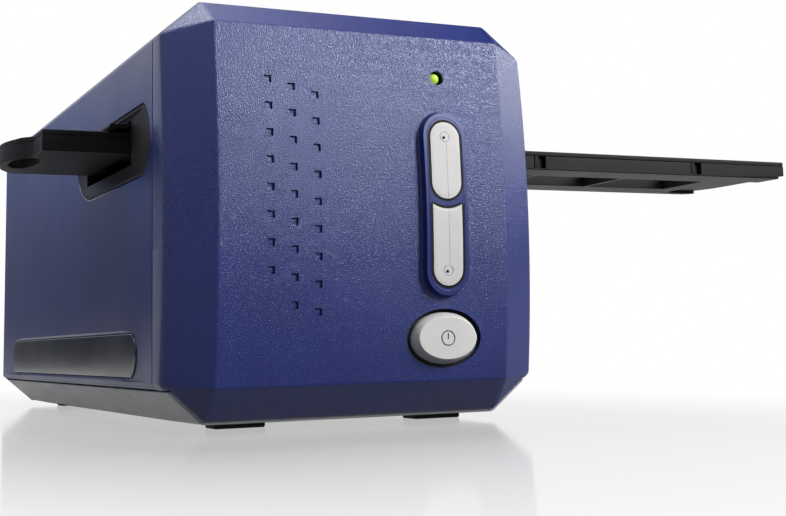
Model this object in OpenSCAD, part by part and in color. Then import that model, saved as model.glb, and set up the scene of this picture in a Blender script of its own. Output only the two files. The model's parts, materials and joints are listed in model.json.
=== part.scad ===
// Desktop scanner for strips of film negatives: an eight-sided casing, a film
// holder that slides through it from side to side, and the scan head inside.
// The origin is on the surface that the feet stand on, midway along the casing.
// +X points to the right as seen from the front, +Y to the rear, +Z up.

/* [Casing] */
// Width across the side faces
body_w = 116; // [115:0.5:128]
// Depth from the foremost point of the front to the rear face
body_d = 268; // [266:1:300]
// Height of the top face above the surface
body_h = 121; // [119:0.5:135]
// Thickness of the casing walls
wall = 2.2; // [1.8:0.1:2.6]
// Run of the upper chamfers across the top
top_cut_x = 12; // [10:0.5:17]
// Drop of the upper chamfers down the sides
top_cut_z = 10.5; // [8:0.5:12]
// Run of the lower chamfers across the underside
low_cut_x = 12.5; // [10:0.5:14]
// Rise of the lower chamfers up the sides
low_cut_z = 11; // [10.5:0.5:12.5]
// Height of the seam between the cover and the base
seam_z = 11.3; // [10:0.1:12]
// Width of the visible gaps between casing pieces
seam_gap = 0.3; // [0.2:0.05:0.5]

/* [Front] */
// Radius of the front's curve, seen from the side
bulge_r = 362; // [300:1:600]
// Height of the foremost point of that curve
bulge_z = 62; // [55:1:68]
// Width of the side bevels
bevel_side = 13; // [12:0.2:15]
// Height of the upper bevel
bevel_top = 7.5; // [7:0.5:10]
// Height of the lower bevel
bevel_low = 10; // [8:0.5:10.5]
// How far the rim of the bevels lies behind the face
bevel_depth = 7.8; // [7:0.2:10]
// Depth of the front panel, face to seam
panel_depth = 19; // [18:0.5:20]
// Width of the base's edge that shows below the front panel
base_lip = 0.9; // [0.6:0.1:1.2]
// Side length of the square dimples
dimple = 2; // [1:0.1:3]
// Depth of the dimples
dimple_depth = 0.7; // [0.3:0.1:1]
// Distance from one dimple to the next
dimple_pitch = 7.7; // [7.5:0.1:7.8]
// Numbers of dimples in the three columns
dimple_rows = [8, 9, 9];

/* [Keys] */
// Distance of the column of keys from the middle of the face
key_x = 24; // [22:0.5:26]
// Width of the scan keys
key_w = 9.5; // [8.5:0.1:10]
// How far the keys stand out of the face
key_proud = 2.5; // [2:0.1:3]
// Gap round the keys
key_gap = 0.35; // [0.3:0.05:0.45]
// Travel of a pressed key
key_travel = 0.8; // [0.4:0.1:0.9]
// Lowest and highest point of the upper key
upper_key_z = [64.3, 87];
// Lowest and highest point of the lower key, measured at its corners
lower_key_z = [39, 62.7];
// Width of the raised surround at its lip
surround_lip_w = 11.4; // [11:0.1:12]
// Width of the raised surround at its foot
surround_foot_w = 15.2; // [14:0.1:16]
// How far the surround stands out of the face
surround_proud = 2.3; // [1.8:0.1:2.8]
// Height of the centre of the power button
power_z = 24; // [23:0.5:26]
// Width and height of the power button's top
power_top = [18.6, 12.2];
// Width and height of the power button at its foot
power_foot = [21.2, 14.8];
// Width and height of the well round the power button
power_well = [24.2, 16.9];
// Height of the status light
light_z = 101; // [99:0.5:102]
// Radius of the status light's hole
light_hole_r = 2.2; // [2:0.1:2.5]
// Radius of the status light's lens
lens_r = 1.55; // [1.2:0.05:1.7]

/* [Film slot] */
// Height of the underside of the film holder
holder_z = 81.5; // [80:0.5:83]
// Thickness of the closed film holder
holder_t = 6.5; // [6:0.1:7]
// Distance of the film holder behind the foremost point of the front
holder_back = 49; // [48:0.5:50]
// Width of the film holder, front to rear
holder_w = 55; // [54:0.5:56]
// Position of the holder's left end
holder_left = -83; // [-85:0.5:-81]
// Position of the holder's right end
holder_right = 197; // [194:0.5:200]
// Room in the slots in front of and behind the holder
slot_room = 2; // [2:0.5:3]
// Room in the slots below the holder
slot_room_below = 3.5; // [2:0.1:4]
// Room in the slots above the holder
slot_room_above = 3.2; // [3:0.1:3.4]
// Gap between the holder and what guides it
guide_gap = 0.3; // [0.2:0.05:0.5]
// Height of the recess round each slot
recess_h = 20.5; // [20:0.5:21]
// Distances of the recess's ends behind the foremost point of the front
recess_ends = [22, 116];
// Depth of the recess
recess_depth = 1; // [0.6:0.2:2]
// Length of a dust door, hinge to tip
door_l = 13; // [12.5:0.5:13]
// Radius of a dust door's hinge pins
door_pin_r = 0.9; // [0.7:0.1:1]
// Radial clearance of the hinge pins
pin_gap = 0.05; // [0.02:0.01:0.1]

/* [Film] */
// Number of frames that the holder takes
frame_count = 6; // [4:1:6]
// Distance from one frame to the next
frame_pitch = 38; // [37.8:0.1:38.2]
// Size of the window of one frame, along and across the film
frame_window = [36, 24.5];
// Number of the frame, from the left, that the optics look at
frame_at_optics = 2; // [2]
// Width of the film
film_w = 35; // [35:0.1:35.4]

/* [Scan head] */
// Travel of the scan head
scan_travel = 30; // [26:1:32]
// Radius of the guide rods
rod_r = 3; // [2.5:0.1:3.2]
// Distance of each guide rod from the middle
rod_x = 30; // [29:0.5:30.5]
// Height of the guide rods
rod_z = 34; // [33:0.5:35]
// Radius of the lead screw's thread
thread_r = 3; // [2.6:0.1:3.2]
// Lead of the screw's thread
thread_lead = 8; // [6:1:10]
// Height of the lead screw
screw_z = 29; // [28:0.5:30]
// Radius of the stepper motor
motor_r = 9.5; // [8:0.5:10]
// Length of the stepper motor
motor_l = 16; // [12:1:20]

/* [Feet and pads] */
// Height of the rubber feet
foot_h = 1.8; // [1.5:0.1:2]
// Width and depth of a foot
foot_size = [16, 10];
// Distance of the feet from the middle
foot_x = 31.5; // [28:0.5:34]
// Distance of the front feet behind the foremost point of the front
foot_back = 27; // [26:1:34]
// Distance of the rear feet from the rear face
foot_ahead = 30; // [24:1:38]
// Height of the middle of the side pads
pad_z = 21.1; // [20.9:0.1:23]
// Height of the side pads
pad_h = 12.6; // [11:0.1:13]
// Distances of the side pads' ends from the foremost point and from the rear face
pad_ends = [36, 28];
// Depth of the pockets that the pads sit in
pad_pocket = 1.2; // [0.8:0.1:1.3]
// How far the pads stand out of the sides
pad_proud = 0.4; // [0.2:0.1:0.8]

/* [Hidden] */
$fn = 48;
curve_fn = 720;
hull_fn = 32;
eps = 0.01;
far = 400;

blue = [0.15, 0.16, 0.42];
face_blue = [0.17, 0.18, 0.46];
silver = [0.76, 0.77, 0.78];
black = [0.05, 0.05, 0.055];
gloss_black = [0.03, 0.03, 0.035];
board_green = [0.06, 0.3, 0.16];
steel = [0.7, 0.71, 0.73];

half_w = body_w / 2;
front_y = -body_d / 2;
rear_y = body_d / 2;
floor_z = foot_h + wall;
rim_y = front_y + bevel_depth;
seam_y = front_y + panel_depth;
cover_y = seam_y + seam_gap;
rear_plate = 2.5;
cover_end = rear_y - rear_plate;
face_w = half_w - bevel_side;
face_top = body_h - bevel_top;
face_low = foot_h + bevel_low;
axis_y = front_y + bulge_r;
holder_front = front_y + holder_back;
recess_front = front_y + recess_ends[0];
recess_rear = front_y + recess_ends[1];
film_mid = holder_front + holder_w / 2;
// The line of light lies behind the film's middle by half the travel when parked
line_y = film_mid + scan_travel / 2;
board_y = front_y + 16;
board_t = 1.6;
// Front and rear walls of the chassis
chassis_t = 2.5;
chassis_front = [board_y + 12, board_y + 12 + chassis_t];
chassis_back = [line_y + 98.5, line_y + 98.5 + chassis_t];

// Where the face lies at a height, and the same curve set back or forward by a distance
function curve_y(z, back = 0) = axis_y - sqrt(pow(bulge_r - back, 2) - pow(z - bulge_z, 2));
// How a chamfer of run a and rise b shrinks when the outline moves in by t
function cut_inside(a, b, t) = a + t * ((norm([a, b]) - a) / b - 1);
function ellipse(size, n = 56) = [
  for (i = [0:n - 1]) [size.x / 2 * cos(i * 360 / n), size.y / 2 * sin(i * 360 / n)]
];
function cross_unit(u, v) = cross(u, v) / norm(cross(u, v));

module along_x(x0, x1) translate([x0, 0, 0]) rotate([90, 0, 90]) linear_extrude(x1 - x0) children();
module along_y(y0, y1) translate([0, y1, 0]) rotate([90, 0, 0]) linear_extrude(y1 - y0) children();
module along_z(z0, z1) translate([0, 0, z0]) linear_extrude(z1 - z0) children();
module rod_x(r, x0, x1, y, z) translate([x0, y, z]) rotate([0, 90, 0]) cylinder(r = r, h = x1 - x0);
module rod_y(r, y0, y1, x, z) translate([x, y0, z]) rotate([-90, 0, 0]) cylinder(r = r, h = y1 - y0);
module rod_z(r, z0, z1, x, y) translate([x, y, z0]) cylinder(r = r, h = z1 - z0);
module block(low, high) translate(low) cube(high - low);

// Everything on the far side of the plane through p with normal n
module beyond(p, n) {
  u = n / norm(n);
  translate(p) rotate([0, acos(u.z), atan2(u.y, u.x)]) translate([-far / 2, -far / 2, 0]) cube(far);
}

// The eight-sided outline of the casing, moved in by t
module octagon(t = 0) {
  w = half_w - t;
  top = body_h - t;
  low = foot_h + t;
  tx = cut_inside(top_cut_x, top_cut_z, t);
  tz = cut_inside(top_cut_z, top_cut_x, t);
  lx = cut_inside(low_cut_x, low_cut_z, t);
  lz = cut_inside(low_cut_z, low_cut_x, t);
  polygon([
    [w, low + lz], [w, top - tz], [w - tx, top], [tx - w, top],
    [-w, top - tz], [-w, low + lz], [lx - w, low], [w - lx, low]
  ]);
}

// All that lies behind the face's curve, set back from it
module behind_curve(back) {
  translate([-far / 2, axis_y, bulge_z]) rotate([0, 90, 0])
    cylinder(r = bulge_r - back, h = far, $fn = curve_fn);
}

// The bevelled front, solid, with every face moved in by t, and cut off at the back
module front_form(t, back) {
  slope = atan2(bevel_depth, bevel_side);
  r = bulge_r - t;
  inner_w = face_w - t * (1 / cos(slope) - 1) / tan(slope);
  run = half_w + wall - inner_w;
  difference() {
    intersection() {
      along_y(front_y - key_proud, back) octagon(t);
      translate([0, axis_y, bulge_z]) rotate([0, 90, 0]) rotate_extrude($fn = curve_fn)
        polygon([
          [0, -inner_w - run], [r - run * tan(slope), -inner_w - run], [r, -inner_w],
          [r, inner_w], [r - run * tan(slope), inner_w + run], [0, inner_w + run]
        ]);
    }
    for (s = [-1, 1]) {
      face_z = s > 0 ? face_top : face_low;
      rim_z = s > 0 ? body_h : foot_h;
      cut_x = s > 0 ? top_cut_x : low_cut_x;
      cut_z = s > 0 ? top_cut_z : low_cut_z;
      face_p = [0, curve_y(face_z), face_z];
      rim_p = [0, curve_y(rim_z, bevel_depth), rim_z];
      n = [0, -abs(rim_z - face_z), s * (rim_p.y - face_p.y)] / norm(rim_p - face_p);
      beyond(face_p - n * t, n);
      for (m = [-1, 1]) {
        corner = [m * face_w, face_p.y, face_z];
        side_z = rim_z - s * cut_z;
        side = [m * half_w, curve_y(side_z, bevel_depth), side_z];
        edge = [m * (half_w - cut_x), rim_p.y, rim_z];
        k = m * s * cross_unit(side - corner, edge - corner);
        beyond(corner - k * (t + corner_flat), k);
      }
    }
  }
}

module stadium(w, h) {
  square([w, h - w], center = true);
  for (s = [-1, 1]) translate([0, s * (h - w) / 2]) circle(d = w);
}

// A coil spring along -Y, from its seat forwards
module coil(mean_r, wire_r, length, turns) {
  sides = 6;
  steps = turns * 12;
  rise = length - 2 * wire_r;
  points = [
    for (i = [0:steps]) let (a = i * 360 * turns / steps, along = -wire_r - rise * i / steps)
      for (j = [0:sides - 1]) let (b = j * 360 / sides, r = mean_r + wire_r * cos(b))
        [r * cos(a), along + wire_r * sin(b), r * sin(a)]
  ];
  sides_of_tube = [
    for (i = [0:steps - 1]) for (j = [0:sides - 1]) let (k = (j + 1) % sides)
      [i * sides + j, i * sides + k, (i + 1) * sides + k, (i + 1) * sides + j]
  ];
  start = [[for (j = [sides - 1:-1:0]) j]];
  end = [[for (j = [0:sides - 1]) steps * sides + j]];
  polyhedron(points, concat(sides_of_tube, start, end), convexity = 10);
}

module screw(head_r, shank_r, length) {
  head_h = head_r * 0.6;
  difference() {
    translate([0, 0, -head_h]) cylinder(r = head_r, h = head_h);
    for (a = [0, 90]) rotate([0, 0, a]) translate([-head_r * 0.6, -head_r * 0.12, -head_h - eps])
      cube([head_r * 1.2, head_r * 0.24, head_h * 0.5]);
  }
  cylinder(r = shank_r, h = length);
}

// ---- Front ------------------------------------------------------------------

rim_gap = 0.06;
corner_flat = 0.2;
board_x = [key_x - 16, key_x + 16];
board_z = [15, 107];
post_r = 2.4;
post_spots = [for (x = [key_x - 12.5, key_x + 12.5], z = [36, 93]) [x, z]];
surround_z = [lower_key_z[0] - 1.5, upper_key_z[1] + 1.5];
surround_mid = (surround_z[0] + surround_z[1]) / 2;
surround_h = surround_z[1] - surround_z[0];
surround_slope = (surround_foot_w - surround_lip_w) / 2;
spigot_w = key_w + 2 * key_gap + 2.4;
spigot_h = surround_h + spigot_w - surround_lip_w;
spigot_back = front_y + 4;
flange_t = 1.2;
flange_rim = 1.2;
flange_y = spigot_back + guide_gap;
stem_r = 2;
switch_size = 4.4;
switch_h = 3.2;
stem_end = board_y - switch_h - key_travel - 0.2;
key_spring_r = 4;
power_spring_r = 5;
wire_r = 0.25;
key_arc_r = 9.3;

dimple_top = [97.4, 95.5, 93.5];
dimple_x = [-29.7, -22.7, -15.6];

module power_oval(size, y0, y1) along_y(y0, y1) translate([key_x, power_z]) polygon(ellipse(size));

module front_panel() color(face_blue) {
  difference() {
    front_form(0, seam_y);
    front_form(wall, seam_y + eps);
    // the base closes the band below the seam, and shows a narrow edge in front
    intersection() {
      block([-far, front_y - far, -far], [far, rear_y, seam_z + seam_gap]);
      behind_curve(bevel_depth - rim_gap);
    }
    difference() {
      block([-far, front_y - far, -far], [far, rear_y, seam_z + seam_gap]);
      along_y(front_y - far, rear_y) octagon(base_lip);
    }
    along_y(front_y - 5, seam_y) translate([key_x, surround_mid]) stadium(spigot_w, spigot_h);
    power_oval(power_well, front_y - 5, seam_y);
    rod_y(light_hole_r, front_y - 5, seam_y, key_x, light_z);
    for (c = [0:2], i = [0:dimple_rows[c] - 1]) {
      z = dimple_top[c] - i * dimple_pitch;
      along_y(front_y - 5, curve_y(z) + dimple_depth)
        translate([dimple_x[c], z]) square(dimple, center = true);
    }
  }
  intersection() {
    for (p = post_spots) difference() {
      rod_y(post_r, front_y, board_y, p.x, p.y);
      rod_y(1, board_y - 6, board_y + eps, p.x, p.y);
    }
    behind_curve(wall / 2);
  }
}

module key_openings(gap) {
  translate([key_x, (upper_key_z[0] + upper_key_z[1]) / 2])
    stadium(key_w + 2 * gap, upper_key_z[1] - upper_key_z[0] + 2 * gap);
  lower_key_outline(gap);
}

// Round below, and hollowed above to follow the upper key
module lower_key_outline(gap) {
  w = key_w + 2 * gap;
  arc_low = lower_key_z[1] - key_arc_r + sqrt(pow(key_arc_r, 2) - pow(key_w / 2, 2));
  difference() {
    translate([key_x, 0]) union() {
      translate([0, lower_key_z[0] + key_w / 2]) circle(d = w);
      translate([-w / 2, lower_key_z[0] + key_w / 2])
        square([w, lower_key_z[1] - lower_key_z[0] - key_w / 2 + gap]);
    }
    translate([key_x, arc_low + key_arc_r]) circle(r = key_arc_r - gap, $fn = 96);
  }
}

module spigot(y0, y1) along_y(y0, y1)
  translate([key_x, surround_mid]) stadium(spigot_w - 0.2, spigot_h - 0.2);

module key_surround() color(blue) {
  difference() {
    union() {
      intersection() {
        hull() {
          along_y(front_y + 1, front_y + 2) translate([key_x, surround_mid])
            stadium(surround_foot_w, surround_h + 2 * surround_slope, $fn = hull_fn);
          along_y(front_y - 6, front_y - surround_proud) translate([key_x, surround_mid])
            stadium(surround_lip_w, surround_h, $fn = hull_fn);
        }
        behind_curve(-surround_proud);
      }
      spigot(front_y + 1, spigot_back);
    }
    difference() {
      behind_curve(-0.05);
      spigot(front_y - 2, spigot_back + 1);
    }
    along_y(front_y - 9, spigot_back + 1) key_openings(key_gap);
  }
}

module key_body(z_mid) {
  color(silver) {
    intersection() {
      along_y(front_y - 6, flange_y + eps) children(0);
      behind_curve(-key_proud);
    }
    along_y(flange_y, flange_y + flange_t) children(1);
    rod_y(stem_r, flange_y + flange_t - eps, stem_end, key_x, z_mid);
  }
}

upper_mid = (upper_key_z[0] + upper_key_z[1]) / 2;
lower_mid = (lower_key_z[0] + lower_key_z[1]) / 2;
upper_h = upper_key_z[1] - upper_key_z[0];
lower_h = lower_key_z[1] - lower_key_z[0];
flange_trim = 0.9;

module upper_scan_key() key_body(upper_mid) {
  translate([key_x, upper_mid]) stadium(key_w, upper_h);
  intersection() {
    translate([key_x, upper_mid]) stadium(key_w + 2 * flange_rim, upper_h + 2 * flange_rim);
    translate([key_x - key_w, upper_key_z[0] - flange_trim]) square([2 * key_w, far]);
  }
}

module lower_scan_key() key_body(lower_mid) {
  lower_key_outline(0);
  intersection() {
    lower_key_outline(flange_rim);
    translate([key_x - key_w, lower_key_z[0] - far]) square([2 * key_w, far + lower_h - flange_rim]);
  }
}

module key_spring(z_mid) color(steel) translate([key_x, board_y - eps, z_mid])
  coil(key_spring_r, wire_r, board_y - flange_y - flange_t - 2 * eps, 5);

module upper_key_spring() key_spring(upper_mid);
module lower_key_spring() key_spring(lower_mid);

power_face_y = curve_y(power_z);
power_seat_y = power_face_y + wall + 1.2;
power_flange_y = power_seat_y + guide_gap;

module power_button() color(silver) {
  hull() {
    power_oval(power_top, power_face_y - key_proud, power_face_y - key_proud + 0.3);
    power_oval(power_foot, power_face_y + 0.2, power_face_y + 0.6);
  }
  power_oval(power_foot, power_face_y + 0.4, power_flange_y + eps);
  power_oval([power_foot.x + 1.6, power_foot.y + 1], power_flange_y, power_flange_y + flange_t);
  rod_y(stem_r, power_flange_y + flange_t - eps, stem_end, key_x, power_z);
}

// Black sleeve that lines the well
module power_button_ring() color(black) difference() {
  power_oval([power_well.x - 0.1, power_well.y - 0.1], power_face_y + 1, power_seat_y);
  power_oval([power_foot.x + 2 * key_gap, power_foot.y + 2 * key_gap], power_face_y, power_seat_y + 1);
}

module power_button_spring() color(steel)
  translate([key_x, board_y - eps, power_z])
    coil(power_spring_r, wire_r, board_y - power_flange_y - flange_t - 2 * eps, 4);

// Light pipe with a domed end, set back in its hole
module status_lens() color([0.35, 0.75, 0.15]) {
  dome_y = curve_y(light_z) + 2.2;
  rod_y(lens_r, dome_y, board_y - 2, key_x, light_z);
  intersection() {
    translate([key_x, dome_y, light_z]) sphere(r = lens_r);
    block([0, front_y, light_z - 5], [far, dome_y + eps, light_z + 5]);
  }
  rod_y(lens_r + 0.8, dome_y + 4, dome_y + 5, key_x, light_z);
}

module button_board() color(board_green) difference() {
  block([board_x[0], board_y, board_z[0]], [board_x[1], board_y + board_t, board_z[1]]);
  for (p = post_spots) rod_y(1.3, board_y - 1, board_y + 5, p.x, p.y);
}

// Three tactile switches and the light source behind the light pipe
module button_switches() {
  for (z = [upper_mid, lower_mid, power_z]) {
    color(black) along_y(board_y - switch_h + 0.8, board_y)
      translate([key_x, z]) square(switch_size, center = true);
    color(silver) rod_y(1.1, board_y - switch_h, board_y - switch_h + 0.8 + eps, key_x, z);
  }
  color([0.9, 0.9, 0.7]) along_y(board_y - 1.8, board_y) translate([key_x, light_z]) square(4, center = true);
}

side_in = 35.5;
side_out = 38.5;

// ---- Casing -----------------------------------------------------------------

tongue_t = 1.2;
tongue_gap = 0.15;
tongue_l = 4;
recess_mid = holder_z + 1.6;
recess_r = recess_h / 2;
frame_fit = 0.15;
slot_y = [holder_front - slot_room, holder_front + holder_w + slot_room];
slot_z = [holder_z - slot_room_below, holder_z + holder_t + slot_room_above];
boss_top = 11.8;
boss_r = 3.4;
boss_reach = 40;
rib_low = 18;
screw_x = side_out + boss_r + 0.4;
screw_spots = [for (x = [-screw_x, screw_x], y = [front_y + 40, rear_y - 29]) [x, y]];
leg_r = 4;
leg_x = side_out - leg_r - 1;
leg_spots = [for (x = [-leg_x, leg_x], y = [chassis_front[0] + 28, chassis_back[1] + 3.5]) [x, y]];
screw_r = 1.25;
screw_head_r = 2.4;
screw_head_z = foot_h + 1.6;

// The recess's outline in Y and Z: level above and below, round in front and drawn out behind
module recess_outline(t) {
  front_arc_r = recess_r + 0.4;
  rear_reach = 24;
  intersection() {
    translate([recess_front + t, recess_mid - recess_r + t])
      square([recess_rear - recess_front - 2 * t, recess_h - 2 * t]);
    union() {
      translate([recess_front + front_arc_r, recess_mid]) circle(r = front_arc_r - t);
      translate([recess_rear - rear_reach, recess_mid])
        polygon(ellipse([2 * (rear_reach - t), 2 * (front_arc_r - t)]));
      translate([recess_front + front_arc_r, recess_mid - far / 2])
        square([recess_rear - recess_front - front_arc_r - rear_reach, far]);
    }
  }
}

module pad_outline(t) {
  r = pad_h / 2 - t;
  y0 = front_y + pad_ends[0] + pad_h / 2;
  y1 = rear_y - pad_ends[1] - pad_h / 2;
  translate([y0, pad_z - r]) square([y1 - y0, 2 * r]);
  for (y = [y0, y1]) translate([y, pad_z]) circle(r = r);
}

// Band of the casing's walls between two depths
module band(t0, t1, y0, y1) difference() {
  along_y(y0, y1) octagon(t0);
  along_y(y0 - 1, y1 + 1) octagon(t1);
}

module top_cover() color(blue) {
  tongue_low = seam_z + 6;
  difference() {
    union() {
      difference() {
        band(0, wall, cover_y, cover_end);
        block([-far, front_y, -far], [far, rear_y + 5, seam_z + seam_gap]);
      }
      // tongue that the front panel slides over
      difference() {
        union() {
          band(wall + tongue_gap, wall + tongue_gap + tongue_t, seam_y - tongue_l, cover_y + tongue_l);
          band(wall - eps, wall + tongue_gap + tongue_t, cover_y, cover_y + tongue_l);
        }
        block([-far, front_y, -far], [far, rear_y, tongue_low]);
      }
    }
    for (m = [0, 1]) mirror([m, 0, 0]) {
      along_x(half_w - 8, half_w + 1) recess_outline(-frame_fit);
      along_x(half_w - pad_pocket, half_w + 1) pad_outline(-frame_fit);
    }
  }
  for (p = screw_spots) difference() {
    union() {
      rod_z(boss_r, boss_top + seam_gap, boss_reach, p.x, p.y);
      reach = sign(p.x) * (half_w - wall + eps);
      block([min(p.x, reach), p.y - 1, rib_low], [max(p.x, reach), p.y + 1, boss_reach]);
    }
    rod_z(screw_r, boss_top, boss_reach - 4, p.x, p.y);
  }
}

module base_shell() color(silver) {
  difference() {
    union() {
      intersection() {
        band(0, wall, front_y, cover_end);
        behind_curve(bevel_depth + eps);
        block([-far, -far, -far], [far, far, seam_z]);
      }
      // tongue inside the cover's lower edge
      intersection() {
        band(wall + tongue_gap, wall + tongue_gap + tongue_t, cover_y + tongue_l + 1.5, cover_end);
        block([-far, -far, seam_z - 5], [far, far, seam_z + 5.5]);
      }
      intersection() {
        band(wall - eps, wall + tongue_gap + tongue_t, cover_y + tongue_l + 1.5, cover_end);
        block([-far, -far, seam_z - 5], [far, far, seam_z - 1.3]);
      }
      for (p = screw_spots) rod_z(boss_r, floor_z - eps, boss_top, p.x, p.y);
      for (p = board_posts) rod_z(3, floor_z - eps, main_board_z, p.x, p.y);
    }
    for (p = screw_spots) {
      rod_z(screw_r + 0.35, 0, boss_top + 1, p.x, p.y);
      rod_z(screw_head_r + 0.1, 0, screw_head_z, p.x, p.y);
    }
    for (p = leg_spots) {
      rod_z(screw_r + 0.35, 0, floor_z + 1, p.x, p.y);
      rod_z(screw_head_r + 0.1, 0, screw_head_z, p.x, p.y);
    }
    for (p = board_posts) rod_z(0.9, floor_z, main_board_z + 1, p.x, p.y);
    for (i = [-2:2]) translate([i * vent_pitch, 0, 0])
      block([-vent_w / 2, vent_y[0], 0], [vent_w / 2, vent_y[1], floor_z + 1]);
    for (p = foot_spots) translate([p.x, p.y, 0])
      along_z(foot_h - 1, foot_h + foot_seat) square(foot_size, center = true);
  }
}

vent_w = 2.5;
vent_pitch = 7;
vent_y = [line_y + 62.5, line_y + 90.5];
foot_seat = 0.8;
case_screw_l = 26;
chassis_screw_l = 11;
foot_spots = [for (x = [-foot_x, foot_x], y = [front_y + foot_back, rear_y - foot_ahead]) [x, y]];

module rubber_feet() color(black) for (p = foot_spots) {
  translate([p.x, p.y, 0]) {
    along_z(foot_h - eps, foot_h + foot_seat) square(foot_size - [0.2, 0.2], center = true);
    along_z(0, foot_h) square(foot_size - [0.8, 0.8], center = true);
  }
}

module screws_up(spots, length) color(steel)
  for (p = spots) translate([p.x, p.y, screw_head_z]) screw(screw_head_r, screw_r - 0.05, length);

module case_screws() screws_up(screw_spots, case_screw_l);
module chassis_screws() screws_up(leg_spots, chassis_screw_l);

usb_at = [20, 12, 11];
dc_at = [-20, 9.4, 11];
rear_vent_z = [62, 88];
lock_slot = [[34, 26], [41, 29]];

module rear_panel() color(blue) {
  ring_t = wall + 2 * tongue_gap + tongue_t;
  difference() {
    union() {
      along_y(cover_end, rear_y) octagon();
      band(ring_t, ring_t + tongue_t, cover_end - tongue_l, cover_end + eps);
    }
    for (c = [usb_at, dc_at])
      block([c.x - c.y / 2 - 0.3, cover_end - 9, main_board_top - 0.3],
            [c.x + c.y / 2 + 0.3, rear_y + 1, main_board_top + c.z + 0.3]);
    for (i = [-4:4])
      block([i * 6 - 1.2, cover_end - 1, rear_vent_z[0]], [i * 6 + 1.2, rear_y + 1, rear_vent_z[1]]);
    block([lock_slot[0].x, cover_end - 1, lock_slot[0].y], [lock_slot[1].x, rear_y + 1, lock_slot[1].y]);
  }
}

// ---- Film slots --------------------------------------------------------------

hinge_x = half_w - 8.5;
hinge_z = slot_z[1] - 0.6;
tunnel_end = half_w - 12;
tunnel_wall = 1.6;
pin_l = 1.3;
door_t = 1.4;
door_bead_r = 1.1;
door_tip_z = holder_z + holder_t + guide_gap + door_bead_r;
door_tilt = asin((hinge_z - door_tip_z) / door_l);
door_side_gap = 0.4;
door_room = 1.9;

// Black insert of a side: a dished recess and the short tunnel behind it
module slot_frame() color(black) difference() {
  union() {
    along_x(half_w - recess_depth - 1.6, half_w - 0.15) recess_outline(0);
    block([tunnel_end, slot_y[0] - tunnel_wall, slot_z[0] - tunnel_wall],
          [half_w - recess_depth, slot_y[1] + tunnel_wall, slot_z[1] + door_room + tunnel_wall]);
  }
  // the casing's side wall stops the tunnel's walls short of the outside
  difference() {
    block([half_w - wall - 0.2, slot_y[0] - 5, slot_z[0] - 5], [half_w + 1, slot_y[1] + 9, slot_z[1] + 9]);
    along_x(half_w - wall - 1, half_w + 1) recess_outline(0);
  }
  hull() {
    along_x(half_w - 0.1, half_w + 1) recess_outline(0.7, $fn = hull_fn);
    along_x(half_w - recess_depth, half_w - recess_depth + 0.1)
      translate([slot_y[0], slot_z[0]]) square([slot_y[1] - slot_y[0], slot_z[1] - slot_z[0]]);
  }
  block([tunnel_end - 1, slot_y[0], slot_z[0]], [half_w, slot_y[1], slot_z[1]]);
  block([tunnel_end - 1, slot_y[0], slot_z[1] - 1],
        [half_w - recess_depth - 1.6, slot_y[1], slot_z[1] + door_room]);
  rod_y(door_pin_r + pin_gap, slot_y[0] - pin_l, slot_y[1] + pin_l, hinge_x, hinge_z);
}

module right_slot_frame() slot_frame();
module left_slot_frame() mirror([1, 0, 0]) slot_frame();

// A door hangs on its pins and lies with its beaded edge over the holder
module dust_door(x) color(black) {
  y0 = slot_y[0] + door_side_gap;
  y1 = slot_y[1] - door_side_gap;
  translate([x, 0, hinge_z]) {
    rod_y(door_pin_r, slot_y[0] - pin_l + 0.15, slot_y[1] + pin_l - 0.15, 0, 0);
    rod_y(door_bead_r, y0, y1, 0, 0);
    rotate([0, -door_tilt, 0]) {
      block([-door_l, y0, -door_t / 2], [0, y1, door_t / 2]);
      rod_y(door_bead_r, y0, y1, -door_l, 0);
    }
  }
}

module left_dust_door() dust_door(-hinge_x);
module right_dust_door() dust_door(hinge_x);

module side_pad() color(gloss_black) along_x(half_w - pad_pocket, half_w + pad_proud) pad_outline(0);
module right_side_pad() side_pad();
module left_side_pad() mirror([1, 0, 0]) side_pad();

// ---- Chassis and film channel --------------------------------------------------

plate_z = [16, 18.5];
end_wall_top = 46;
guide_low_z = 76.2;
rail_w = 6.7;
guide_y = [holder_front - guide_gap - rail_w, holder_front + holder_w + guide_gap + rail_w];
rail_y = [holder_front - guide_gap, holder_front + holder_w + guide_gap];
channel_z = [holder_z - guide_gap, holder_z + holder_t + guide_gap];
guide_half = hinge_x - door_l - door_bead_r - 1.4;
optics_window = [39, 27];
window_y = [film_mid - scan_travel / 2 - 3, film_mid + scan_travel / 2 + 3];
guide_cap_t = 3;
guide_screw_x = guide_half - 4;
guide_screw_spots = [
  for (x = [-guide_screw_x, guide_screw_x], y = [guide_y[0] + 3.3, guide_y[1] - 3.3]) [x, y]
];
chassis_end = chassis_back[1] + 22.5;
bearing_r = 5;

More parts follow.
